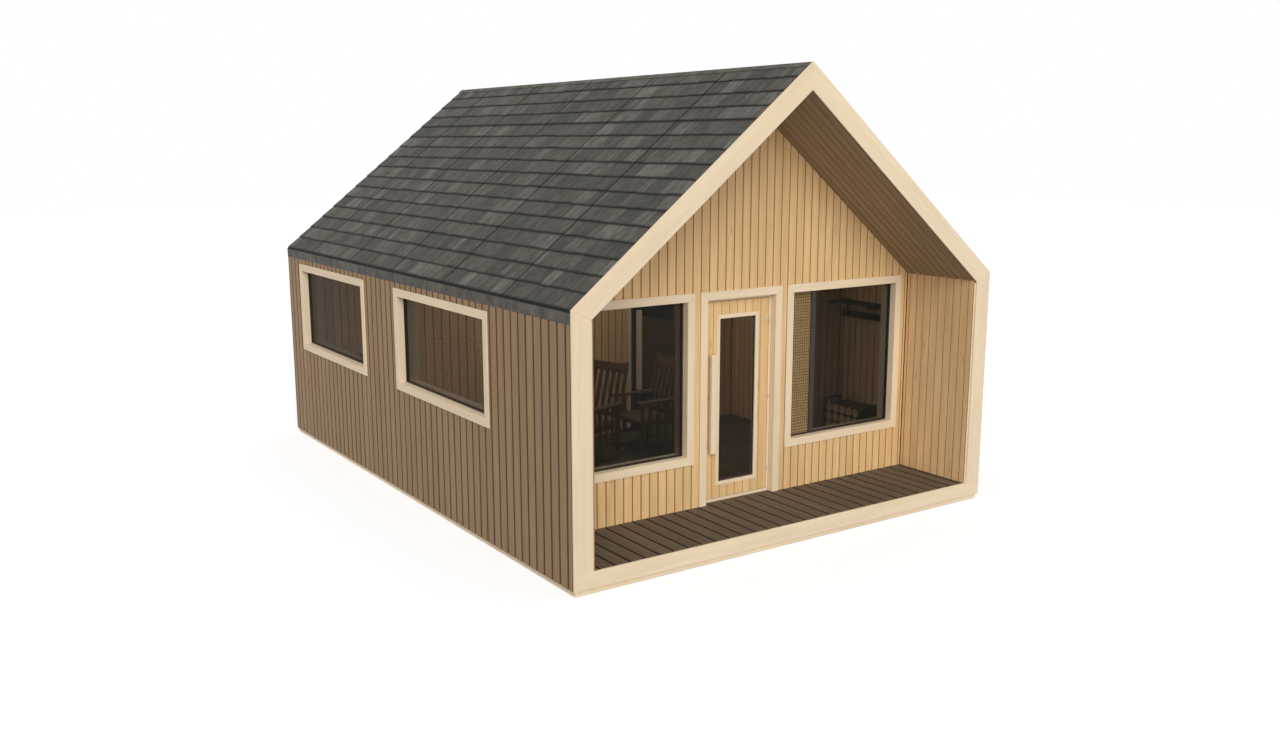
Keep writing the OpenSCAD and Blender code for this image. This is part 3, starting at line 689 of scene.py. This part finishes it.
def core(outline, holes, place, depths):  # the plain building board inside a wall
    loops = [outline] + holes
    flat = [point for loop in loops for point in loop]
    triangles = tessellate_polygon([[Vector((a, b, 0)) for a, b in loop] for loop in loops])
    count, start = len(flat), 0
    points = [place(a, b, depth) for depth in depths for a, b in flat]
    faces = [tuple(t) for t in triangles] + [tuple(count + i for i in reversed(t)) for t in triangles]
    for loop in loops:
        size = len(loop)
        for i in range(size):
            j = (i + 1) % size
            faces.append((start + i, start + j, count + start + j, count + start + i))
        start += size
    mesh = fromPoints("core", points, faces, ["board"])
    turnedOut(mesh)
    return placed("core", mesh)


def frontPlace(a, b, d):  # outline in X and Z, depth along Y
    return (a, d, b)


def sidePlace(a, b, d):  # outline in Y and Z, depth along X
    return (d, a, b)


# sizes read from the frame
leftLow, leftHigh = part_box("left_wall")
rearLow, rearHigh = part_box("rear_wall")
gableLow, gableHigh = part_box("front_gable")
coverLow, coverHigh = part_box("left_roof_cover")
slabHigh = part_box("left_roof")[1]
trimLow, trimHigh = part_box("door_trim")
frameLow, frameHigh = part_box("door_frame")
deckLow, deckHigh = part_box("porch_deck")
topLow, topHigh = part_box("partition_top")
eaveBoxes = solidBoxes("eave_boards")
halfWidth = -leftLow.x
roomHalf = -leftHigh.x
frontY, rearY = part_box("deck_edge_board")[0].y, rearHigh.y
portalBack, backY = leftLow.y, leftHigh.y
wallFace, wallInner = gableLow.y, gableHigh.y
rearInner = rearLow.y
wallTop = leftHigh.z
ridgeZ = coverHigh.z
coverRise = ridgeZ - slabHigh.z
eaveZ = coverLow.z + coverRise
slope = (ridgeZ - eaveZ) / halfWidth
slopeLength = math.hypot(1, slope)
ceilingPeak = topHigh.z
sillTop = leftLow.z
floorZ = deckHigh.z
eaveBoardZ = eaveBoxes[0][0].z
boardT = 0.02
liningT = 0.014
frontTrims, sideTrims = solidBoxes("front_window_trims"), solidBoxes("side_window_trims")
frontLinings, sideLinings = solidBoxes("front_window_frames"), solidBoxes("side_window_frames")
upright = (0, 0, 1)
print("sizes read", round(slope, 4), len(frontTrims), len(sideTrims), len(frontLinings), len(sideLinings))


def pitched(peak, x):  # the height at x under a ridge at peak
    return peak - slope * abs(x)


def rectangle(a, b, c, d):
    return [(a, c), (b, c), (b, d), (a, d)]


def shrunk(a, b, c, d, edge):
    return (a + edge, b - edge, c + edge, d - edge)


def faceOf(box, run=0):  # left, right, bottom and top of a box: run is 0 seen from the front, 1 from the side
    low, high = box
    return (low[run], high[run], low.z, high.z)


def refinish(node, finish):
    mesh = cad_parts[node].data
    mesh.materials.clear()
    mesh.materials.append(finishes[finish])


# outer wall boards
wallPlan = {"sidePitch": 0.1327, "frontPitch": 0.0985, "frontJoint": -2.286, "liningPitch": 0.0994}
sideJoints = jointsFrom(rearY - wallPlan["sidePitch"], wallPlan["sidePitch"], frontY, rearY)
rearJoints = [j - (rearY - halfWidth) for j in sideJoints]


def sideOpenings(side):
    return [faceOf(box, 1) for box in sideLinings if box[0].x * side > 0]


def mirrored(openings):
    return [(-b, -a, c, d) for a, b, c, d in openings]


def runPlan(against, start, end, joints, *rest, openings=()):  # against: local X runs against the frame's axis
    if against:
        start, end, joints, openings = -end, -start, [-j for j in joints], mirrored(openings)
    return boardPlan(start, end, joints, *rest, openings)


reveal, sunkFoot = 0.018, 0.01
doorHole = (frameLow.x - reveal, frameHigh.x + reveal, floorZ - sunkFoot, frameHigh.z + reveal)
frontOpenings = [faceOf(box) for box in frontLinings] + [doorHole]

grooves = {"Chamfer": 0.015, "Groove": 0.010, "Gap": 0.003}
for side, name, seed in ((-1, "left", 3), (1, "right", 5)):
    plan = runPlan(side < 0, portalBack, backY, sideJoints, sillTop, eaveBoardZ, openings=sideOpenings(side))
    place = facing((side, 0, 0), upright, (side * halfWidth, 0, 0))
    boards = layBoards(f"{name}WallBoards", plan, place, "sideWood", seed, Thickness=boardT, **grooves)
    hand(boards, [f"{name}_wall"])
overEaves = (eaveBoardZ, 2 * ridgeZ)  # the eave boards' ends show here
corners = [(-halfWidth, -halfWidth + boardT, *overEaves), (halfWidth - boardT, halfWidth, *overEaves)]
plan = boardPlan(-halfWidth, halfWidth, rearJoints, sillTop, ridgeZ, corners, [0.0])
rearBoards = layBoards(
    "rearWallBoards", plan, facing((0, 1, 0), upright, (0, rearY, 0)), "sideWood", 7,
    Thickness=boardT, Peak=slabHigh.z, Slope=slope, **grooves
)
hand(rearBoards, ["rear_wall"])
frontJoints = jointsFrom(wallPlan["frontJoint"], wallPlan["frontPitch"], -roomHalf, roomHalf)
plan = boardPlan(-roomHalf, roomHalf, frontJoints, floorZ, ceilingPeak, frontOpenings, [0.0])
frontBoards = layBoards(
    "frontWallBoards", plan, facing((0, -1, 0), upright, (0, wallFace, 0)), "frontWood", 11,
    Thickness=boardT, Peak=ceilingPeak, Slope=slope, Chamfer=0.008, Groove=0.006, Gap=0.001
)
hand(frontBoards, ["front_wall_left", "front_wall_right", "front_gable"])
print("outer boards laid")

# inner lining
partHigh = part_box("partition_walls")[1]
wingBox = min(solidBoxes("partition_walls"), key=lambda b: b[0].y)
partY0, partY1 = partHigh.y - (topHigh.y - topLow.y), partHigh.y
saunaLow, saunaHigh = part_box("sauna_door_frame")
liningJoints = jointsFrom(frontY + 0.181, wallPlan["liningPitch"], frontY, rearY)
crossJoints = jointsFrom(-roomHalf + 0.06, wallPlan["liningPitch"], -roomHalf, roomHalf)
inner = {"Thickness": liningT, "Chamfer": 0.0065, "Groove": 0.005, "Gap": 0.001}
linings = []


def lineSide(side, y0, y1):
    plan = runPlan(side > 0, y0, y1, liningJoints, floorZ, wallTop, openings=sideOpenings(side))
    place = facing((-side, 0, 0), upright, (side * roomHalf, 0, 0))
    linings.append(layBoards("lining", plan, place, "liningWood", 13 + side, **inner))


def lineAcross(y, toward, openings, x0=-roomHalf, x1=roomHalf):
    if toward > 0:  # faces +Y, where local X runs against X
        x0, x1, openings = -x1, -x0, mirrored(openings)
    plan = boardPlan(x0, x1, crossJoints, floorZ, ceilingPeak, openings, [0.0])
    place = facing((0, toward, 0), upright, (0, y, 0))
    linings.append(layBoards("lining", plan, place, "liningWood", 17 + toward, Peak=ceilingPeak, Slope=slope, **inner))


for side in (-1, 1):
    lineSide(side, portalBack, wallFace)
    lineSide(side, wallInner, partY0)
    lineSide(side, partY1, rearInner)
saunaHole = (saunaLow.x, saunaHigh.x, floorZ - sunkFoot, saunaHigh.z)
lineAcross(wallInner, 1, frontOpenings)
lineAcross(partY0, -1, [saunaHole])
lineAcross(partY1, 1, [saunaHole])
lineAcross(rearInner, -1, [])
wingX0, wingX1 = wingBox[0].x, wingBox[1].x
lineAcross(wingBox[0].y, -1, [], wingX0, wingX1)
lineAcross(wingBox[1].y, 1, [], wingX0, wingX1)
hand(joined("roomLining", linings), ["partition_walls", "partition_top"])

# the ceiling boards run up the slope, over the porch and both rooms
ceilings = []
for side in (-1, 1):
    up, normal = Vector((-side, 0, slope)), Vector((-side * slope, 0, -1))
    place = facing(normal, up, (side * roomHalf, 0, pitched(ceilingPeak, roomHalf)))
    for y0, y1 in ((portalBack, wallFace), (wallInner, partY0), (partY1, rearInner)):
        joints = jointsFrom(frontY + 0.12, wallPlan["liningPitch"], y0, y1)
        plan = runPlan(side > 0, y0, y1, joints, 0.0, roomHalf * slopeLength)
        ceilings.append(layBoards("ceiling", plan, place, "ceilingWoodPaintedShade", 23 + side, **inner))
hand(joined("ceilingBoards", ceilings), ["left_roof", "right_roof"])
print("lining and ceiling laid")

# building boards inside the walls and the roof
endBoard = 0.017  # closes the side walls behind the portal
cores = []


def sideCore(side):
    outline = rectangle(portalBack + endBoard + hairline, backY - hairline, sillTop, wallTop - 2 * hairline)
    outer, inside = halfWidth - boardT - hairline, roomHalf + liningT + hairline
    return core(outline, [rectangle(*o) for o in sideOpenings(side)], sidePlace, (side * outer, side * inside))


def gableOutline(low, door=None):
    half, peak = roomHalf - hairline, ceilingPeak - hairline
    a, b, c, d = door or (0, 0, 0, 0)
    cut = [(a, low), (a, d), (b, d), (b, low)] if door else []
    return [(-half, low), *cut, (half, low), (half, pitched(peak, half)), (0, peak), (-half, pitched(peak, half))]


def crossCore(outline, near, far, holes=()):  # leaves room for the boards on both faces
    cores.append(core(outline, list(holes), frontPlace, (near + hairline, far - hairline)))


cores += [sideCore(-1), sideCore(1)]
windowHoles = [rectangle(*o) for o in frontOpenings[:-1]]
crossCore(gableOutline(floorZ, doorHole), wallFace + boardT, wallInner - liningT, windowHoles)
crossCore(gableOutline(floorZ, saunaHole), partY0 + liningT, partY1 - liningT)
crossCore(gableOutline(sillTop), rearInner + liningT, backY)
wing = (wingX0 + liningT, wingX1 - hairline)
wingTop = [(x, pitched(ceilingPeak, x) - 2 * hairline) for x in wing[::-1]]
crossCore([(x, floorZ) for x in wing] + wingTop, wingBox[0].y + liningT, wingBox[1].y - liningT)
half, liningRise = halfWidth - boardT, (liningT + hairline) * slopeLength
for side in (-1, 1):
    outline = [
        (side * half, pitched(ceilingPeak, half) + liningRise), (0, ceilingPeak + liningRise),
        (0, slabHigh.z - hairline), (side * half, pitched(slabHigh.z, half) - hairline),
    ]
    crossCore(outline, portalBack, backY + hairline)
hand(joined("wallAndRoofBoard", cores), [])
print("wall and roof boards made")

# portal, trims, linings
portalWidth = solidBoxes("portal_posts")[0][1].x + halfWidth
portalRise = portalWidth * slopeLength
portal = Joinery(31)
inHalf = halfWidth - portalWidth
mitreLow = pitched(ridgeZ, inHalf) - portalRise
for side in (-1, 1):
    post = [(side * halfWidth, floorZ), (side * inHalf, floorZ), (side * inHalf, mitreLow), (side * halfWidth, eaveZ)]
    portal.plate(post, frontPlace, (frontY, portalBack), upright)
    rafter = [(side * halfWidth, eaveZ), (side * inHalf, mitreLow), (0, ridgeZ - portalRise), (0, ridgeZ)]
    portal.plate(rafter, frontPlace, (frontY, portalBack), (-side, 0, slope))
portalNodes = ["portal_posts", "left_portal_rafter", "right_portal_rafter"]
portal.fit("portal", ["trimWood"], portalNodes, 0.0025, 2)

edge = Joinery(32)
edge.box(*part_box("deck_edge_board"), (1, 0, 0))
edge.fit("deckEdgeBoard", ["trimWood"], ["deck_edge_board"], 0.0025, 2)

ends = Joinery(33)  # the boards that close the side walls' ends behind the portal
for side in (-1, 1):
    x0, x1 = sorted((side * (roomHalf + liningT), side * (halfWidth - boardT - hairline)))
    ends.box((x0, portalBack + 0.0005, sillTop + hairline), (x1, portalBack + endBoard, wallTop - 0.02), upright)
ends.fit("wallEndBoards", ["trimWood"], [], 0.001)

sills = Joinery(34)
for low, high in solidBoxes("ground_sills"):
    along = (0, 1, 0) if high.y - low.y > high.x - low.x else (1, 0, 0)
    sills.box(low, high, along)
sills.fit("groundSills", ["trimWood"], ["ground_sills"], 0.003)

trimWidth = frameLow.x - trimLow.x
windowSides = (
    (35, "front", frontTrims, frontLinings, frontPlace, 0, 1), (36, "side", sideTrims, sideLinings, sidePlace, 1, 0),
)
for seed, part, boxes, _, place, run, deep in windowSides:
    trims = Joinery(seed)
    for low, high in boxes:
        trims.ring(shrunk(*faceOf((low, high), run), trimWidth), trimWidth, place, (low[deep], high[deep]))
    trims.fit(f"{part}WindowTrims", ["trimWood"], [f"{part}_window_trims"], segments=2)
trims = Joinery(37)
hole = (frameLow.x, frameHigh.x, floorZ, frameHigh.z)
trims.ring(hole, trimWidth, frontPlace, (trimLow.y, trimHigh.y), foot=False)
trims.ring(hole, reveal, frontPlace, (wallFace + 0.0005, frameLow.y), foot=False)
trims.fit("doorTrim", ["trimWood"], ["door_trim"], segments=2)
print("portal and trims made")

# windows
windowPlan = {"lining": 0.018, "bar": 0.012, "barBack": 0.066, "barDepth": 0.036, "bite": 0.006}


def mullion(frames):  # between the screen and the clear pane
    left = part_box("window_screen")[1].x - windowPlan["bite"]
    right = solidBoxes("front_window_glass")[-1][0].x + windowPlan["bite"]
    low, high = frontLinings[-1]
    near, inset = low.y + windowPlan["barBack"], windowPlan["lining"] + windowPlan["bar"]
    frames.box((left, near, low.z + inset), (right, near + windowPlan["barDepth"], high.z - inset), upright, 1)


for seed, part, _, boxes, place, run, deep in windowSides:
    frames = Joinery(seed + 6)
    for low, high in boxes:
        outer, inside = (low[deep], high[deep]) if low[deep] < 0 else (high[deep], low[deep])
        hole = shrunk(*faceOf((low, high), run), windowPlan["lining"])
        frames.ring(hole, windowPlan["lining"], place, (outer, inside))
        inward = 1 if inside > outer else -1
        near = outer + inward * windowPlan["barBack"]
        depths = (near, near + inward * windowPlan["barDepth"])
        frames.ring(shrunk(*hole, windowPlan["bar"]), windowPlan["bar"], place, depths, 1)
    if part == "front":
        mullion(frames)
    frames.fit(
        f"{part}WindowFrames", ["trimWood", "barPaint"], [f"{part}_window_frames"], 0.0015
    )
for node in ("front_window_glass", "side_window_glass", "door_glass"):
    refinish(node, "glass")
refinish("sauna_door_glass", "clearGlass")


def wovenScreen():  # reeds across, held by upright cords, on a thin panel
    low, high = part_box("window_screen")
    rim = Vector((windowPlan["bite"], 0, windowPlan["bite"]))
    low, high = low + rim, high - rim
    middle, pitch, reed, cord = (low.y + high.y) / 2, 0.030, 0.004, 0.0025
    reeds = boardPlan(-high.z, -low.z, jointsFrom(-high.z, pitch, -high.z, -low.z), low.x, high.x)
    place = facing((0, -1, 0), (1, 0, 0), (0, middle - reed, 0))
    woven = layBoards("reeds", reeds, place, "weave", 51, Thickness=reed, Gap=0.008, Chamfer=0.003, Groove=0.003)
    cords = Joinery(52)
    x = low.x + pitch / 2
    while x < high.x:
        for y0, y1 in ((middle - reed - cord, middle - reed), (middle + reed, middle + reed + cord)):
            cords.box((x - 0.003, y0, low.z), (x + 0.003, y1, high.z), upright)
        x += pitch
    cords.box((low.x, middle + 0.0002, low.z), (high.x, middle + reed - 0.0002, high.z), upright)
    return joined("wovenScreen", [cords.piece("cords", ["deckWood"], 0.0005), woven])


hand(wovenScreen(), ["window_screen"])
print("windows made")

# floor and deck
deckPlan = {"firstJoint": -2.385, "pitch": 0.154, "gap": 0.017, "inner": 0.028}
deckJoints = jointsFrom(deckPlan["firstJoint"], deckPlan["pitch"], -roomHalf, roomHalf)
deckPlace = facing((0, 0, 1), (0, 1, 0), (0, 0, floorZ))
plan = boardPlan(-roomHalf, roomHalf, deckJoints, portalBack, wallFace)
deck = layBoards(
    "porchDeckBoards", plan, deckPlace, "deckWood", 61,
    Thickness=deckHigh.z - deckLow.z, Gap=deckPlan["gap"], Chamfer=0.003, Groove=0.003
)
hand(deck, ["porch_deck"])
joists = Joinery(62)
for low, high in solidBoxes("porch_joists"):
    joists.box(low, high, (1, 0, 0))
joists.fit("porchJoists", ["deckWood"], ["porch_joists"])
roomLow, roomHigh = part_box("room_floor")
plan = boardPlan(-roomHalf, roomHalf, deckJoints, roomLow.y, roomHigh.y)
floorBoards = layBoards(
    "floorBoards", plan, deckPlace, "deckWood", 63, Thickness=deckPlan["inner"], Gap=0.006, Chamfer=0.003, Groove=0.006
)
below = Joinery(64)
below.box(
    (roomLow.x + hairline, roomLow.y + hairline, roomLow.z),
    (roomHigh.x - hairline, roomHigh.y - hairline, floorZ - deckPlan["inner"] - hairline), (0, 1, 0),
)
below = below.piece("subfloor", ["board"], 0.004)
hand(joined("roomFloorBoards", [below, floorBoards]), ["room_floor"])
print("floor and deck laid")


# roof covering
roofPlan = {
    "course": 0.2001, "overlap": 0.03, "base": 0.006, "tab": 0.005, "lift": 0.0075,
    "sheet": 1.2225, "firstSeam": 1.184, "seamGap": 0.016, "widths": (0.07, 0.33), "seed": 71,
    "rows": 16, "crossRow": 12, "crossStart": 0.012, "dip": 0.007, "margin": 0.004,
}


def shinglePlan(side):
    chance = random.Random(roofPlan["seed"] + side)
    y0, y1 = portalBack + hairline, rearY - hairline
    seams = [frontY + roofPlan["firstSeam"] + k * roofPlan["sheet"] for k in range(5)]
    bays = list(zip([y0] + seams, seams + [y1]))
    total = halfWidth * slopeLength
    plan, number = [], 0
    course, overlap, seam = roofPlan["course"], roofPlan["overlap"], roofPlan["seamGap"] / 2
    for row in range(roofPlan["rows"]):
        low = row * course + (0 if row else roofPlan["margin"])
        high = min(low + course + overlap, total - roofPlan["margin"])
        for a, b in bays:
            y = a
            while y < b - hairline:
                width = chance.uniform(*roofPlan["widths"])
                end = b if b - (y + width) < roofPlan["widths"][0] else y + width
                c, d = y + (seam if y == a else 0), end - (seam if end == b else 0)
                dip = chance.uniform(-roofPlan["dip"], roofPlan["dip"]) if row else 0
                s = low + (roofPlan["crossStart"] if row == roofPlan["crossRow"] else dip)
                plan.append(((c + d) / 2 * side, (s + high) / 2, d - c, high - s, number, 1.0, 1.0))
                number += 1
                y = end
    return plan


def roofCovering(side, name, node):
    up, normal = Vector((-side, 0, slope)).normalized(), Vector((side * slope, 0, 1)).normalized()
    # the face of the upper ends lies base + tab over the slab
    sunk = coverRise / slopeLength - roofPlan["base"] - roofPlan["tab"]
    origin = Vector((side * halfWidth, 0, eaveZ)) - normal * sunk
    tabs = layBoards(
        "tabs", shinglePlan(side), facing(normal, up, origin), "shingles", 73 + side,
        Thickness=roofPlan["tab"], Gap=0.002, Chamfer=0.002, Groove=0.001, Lift=roofPlan["lift"]
    )
    under = Joinery(75)
    rise, half = roofPlan["base"] * slopeLength, halfWidth - hairline
    foot = pitched(slabHigh.z, half)
    outline = [(side * half, foot), (0, slabHigh.z), (0, slabHigh.z + rise), (side * half, foot + rise)]
    under.plate(outline, frontPlace, (portalBack + 0.0005, rearY), (0, 1, 0))
    piece = joined(name, [under.piece("underlay", ["underlay"], 0.001), tabs])
    return hand(piece, [node])


roofCovering(-1, "leftShingles", "left_roof_cover")
roofCovering(1, "rightShingles", "right_roof_cover")
ridge = Joinery(77)  # short folded pieces that close the ridge
capPlan = {"length": 0.3, "width": 0.045, "rise": 0.006}
capFoot, capRise = pitched(ridgeZ, capPlan["width"]), capPlan["rise"]
y = portalBack + 2 * hairline
while y < rearY - 0.01:
    end = min(y + capPlan["length"], rearY - 2 * hairline)
    for side in (-1, 1):
        x = side * capPlan["width"]
        outline = [(0, ridgeZ - capRise), (x, capFoot - capRise), (x, capFoot), (0, ridgeZ)]
        ridge.plate(outline, frontPlace, (y + hairline, end - hairline), (0, 1, 0))
    y = end
ridge.fit("ridgeCaps", ["roofEdge"], [], 0.001)
eaves = Joinery(78)
for low, high in eaveBoxes:
    outer, inside = (x if low.x > 0 else -x for x in (halfWidth, halfWidth - boardT))
    tops = [(x, pitched(slabHigh.z, x)) for x in (inside, outer)]
    outline = [(outer, low.z), (inside, low.z)] + tops
    eaves.plate(outline, frontPlace, (low.y, high.y), (0, 1, 0))
eaves.fit("eaveBoards", ["roofEdge"], ["eave_boards"])
print("roof covered")

# front door
leafLow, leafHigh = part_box("door_leaf")
doorPlan = {"face": 0.006, "bead": 0.037, "jamb": 0.027, "threshold": 0.03}
beadWide = doorPlan["bead"]
pane = shrunk(*faceOf(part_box("door_beads")), beadWide)
frames = Joinery(81)
jamb = doorPlan["jamb"]
x0, x1, z1 = frameLow.x + jamb, frameHigh.x - jamb, frameHigh.z - jamb
depths = (frameLow.y, frameHigh.y)
outer = (frameLow.x, frameHigh.x, floorZ, frameHigh.z)
frames.surround((x0, x1, floorZ, z1), outer, frontPlace, depths, foot=False)
threshold = [(x0, floorZ), (x1, floorZ), (x1, floorZ + doorPlan["threshold"]), (x0, floorZ + doorPlan["threshold"])]
frames.plate(threshold, frontPlace, depths, (1, 0, 0))
frames.fit("doorFrame", ["trimWood"], ["door_frame"], 0.0015)

leafCut = shrunk(*pane, -beadWide / 2)
leafPieces = []
for toward, y in ((-1, leafLow.y), (1, leafHigh.y)):
    plan = runPlan(toward > 0, leafLow.x, leafHigh.x, frontJoints, leafLow.z, leafHigh.z, openings=[leafCut])
    leafPieces.append(layBoards(
        "leafFace", plan, facing((0, toward, 0), upright, (0, y, 0)), "frontWood", 83 + toward,
        Thickness=doorPlan["face"], Chamfer=0.003, Groove=0.003, Gap=0.001
    ))
heart = Joinery(84)
depths = (leafLow.y + doorPlan["face"] + 0.0003, leafHigh.y - doorPlan["face"] - 0.0003)
heart.surround(leafCut, faceOf((leafLow, leafHigh)), frontPlace, depths)
leafPieces.insert(0, heart.piece("leafHeart", ["frontWood"], 0.001))
hand(joined("doorLeaf", leafPieces), ["door_leaf"], "front_door")

beads = Joinery(85)
for low, high in solidBoxes("door_beads"):
    face = (low.y, leafLow.y) if low.y < leafLow.y else (leafHigh.y, high.y)
    beads.ring(pane, beadWide / 2, frontPlace, (low.y, high.y))
    beads.ring(leafCut, beadWide / 2, frontPlace, face)
beads.fit("doorBeads", ["trimWood"], ["door_beads"], 0.0015, 2, body="front_door")


def pullHandles(name, node, body, faces):  # upright bars, each on two steel lugs
    bars = Joinery(86)
    barDepth, lugHalf, lugHeight, bite = 0.038, 0.015, 0.06, 0.002
    for low, high in solidBoxes(node):
        outward = abs(low.y - faces[0]) > abs(high.y - faces[0])
        y0, y1 = (low.y, low.y + barDepth) if outward else (high.y - barDepth, high.y)
        g0, g1 = (y1 - bite, high.y) if outward else (low.y, y0 + bite)
        bars.box((low.x, y0, low.z), (high.x, y1, high.z), upright)
        middle = (low.x + high.x) / 2
        for z in (low.z + 0.03, high.z - 0.09):
            bars.box((middle - lugHalf, g0, z), (middle + lugHalf, g1, z + lugHeight), (0, 1, 0), 1)
    bars.fit(name, ["trimWood", "steel"], [node], 0.005, 3, body)


pullHandles("doorHandles", "door_handles", "front_door", (leafLow.y, leafHigh.y))
saunaFaces = [corner.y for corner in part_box("sauna_door_glass")]
pullHandles("saunaDoorHandles", "sauna_door_handles", "sauna_door", saunaFaces)
frames = Joinery(87)
saunaJamb = 0.047
hole = (saunaLow.x + saunaJamb, saunaHigh.x - saunaJamb, floorZ, saunaHigh.z - saunaJamb)
frames.ring(hole, saunaJamb, frontPlace, (saunaLow.y, saunaHigh.y), foot=False)
wingFace = rectangle(wingBox[0].y, wingBox[1].y, floorZ, pitched(ceilingPeak, wingX0) - 0.012)
frames.plate(wingFace, sidePlace, (wingX0 - 0.0005, wingX0 + liningT), upright)
frames.fit("saunaDoorFrame", ["trimWood"], ["sauna_door_frame"])
print("doors made")

# fittings and furniture
for node, finish in {
    "door_hinge_plates": "hingePaint", "fixed_hinge_plates": "hingePaint", "sauna_door_hinge_plates": "hingePaint",
    "rocking_chairs": "chairWood", "coat_rack": "darkSteel", "log_rack": "darkSteel",
}.items():
    refinish(node, finish)

bench = Joinery(91)
benchLow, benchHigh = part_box("sauna_bench")
benchPlan = {"boards": 5, "gap": 0.012, "thickness": 0.028, "post": 0.06, "beam": 0.09, "bays": 3}
step = (benchHigh.y - benchLow.y + benchPlan["gap"]) / benchPlan["boards"]
underside = benchHigh.z - benchPlan["thickness"]
for i in range(benchPlan["boards"]):
    y0 = benchLow.y + i * step
    bench.box((benchLow.x, y0, underside), (benchHigh.x, y0 + step - benchPlan["gap"], benchHigh.z), (1, 0, 0))
post, top = benchPlan["post"], underside - 0.0005
bay, beamLow = (benchHigh.x - benchLow.x - post) / benchPlan["bays"], top - benchPlan["beam"]
for i in range(benchPlan["bays"] + 1):
    x = benchLow.x + i * bay
    bench.box((x, benchLow.y + 0.008, beamLow), (x + post, benchHigh.y - 0.008, top), (0, 1, 0))
    for y0 in (benchLow.y + 0.016, benchHigh.y - 0.016 - post):
        bench.box((x + 0.004, y0, floorZ), (x + post - 0.004, y0 + post, beamLow - 0.0005), upright)
bench.fit("saunaBench", ["benchWood"], ["sauna_bench"], 0.004, 2)


def splitLogs():
    chance = random.Random(95)
    points, faces, grain, kinds = [], [], [], []
    for low, high in solidBoxes("logs"):
        centre, radius = (low + high) / 2, (high.z - low.z) / 2
        sides, rings = 14, 5
        wobble = [1 - chance.uniform(0.0, 0.07) for _ in range(sides)]
        start = len(points)
        for k in range(rings):
            x = low.x + (high.x - low.x) * k / (rings - 1)
            for i in range(sides):
                angle = math.tau * i / sides
                reach = radius * (wobble[i] - chance.uniform(0, 0.02))
                points.append((x, centre.y + reach * math.cos(angle), centre.z + reach * math.sin(angle)))
        for k in range(rings - 1):
            for i in range(sides):
                j = (i + 1) % sides
                a, b = start + k * sides, start + (k + 1) * sides
                faces.append((a + i, a + j, b + j, b + i))
                kinds.append(0)
                grain += [(0, 0)] * 4
        for k, turn in ((0, -1), (rings - 1, 1)):
            loop = [start + k * sides + i for i in range(sides)][::turn]
            faces.append(tuple(loop))
            kinds.append(1)
            grain += [(points[i][1] - centre.y, points[i][2] - centre.z) for i in loop]
    mesh = fromPoints("splitLogs", points, faces, ["bark", "logEnd"])
    addGrain(mesh, grain)
    mesh.polygons.foreach_set("material_index", kinds)
    turnedOut(mesh)
    return placed("splitLogs", mesh)


hand(splitLogs(), ["logs"])
print("furniture made")

low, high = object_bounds()
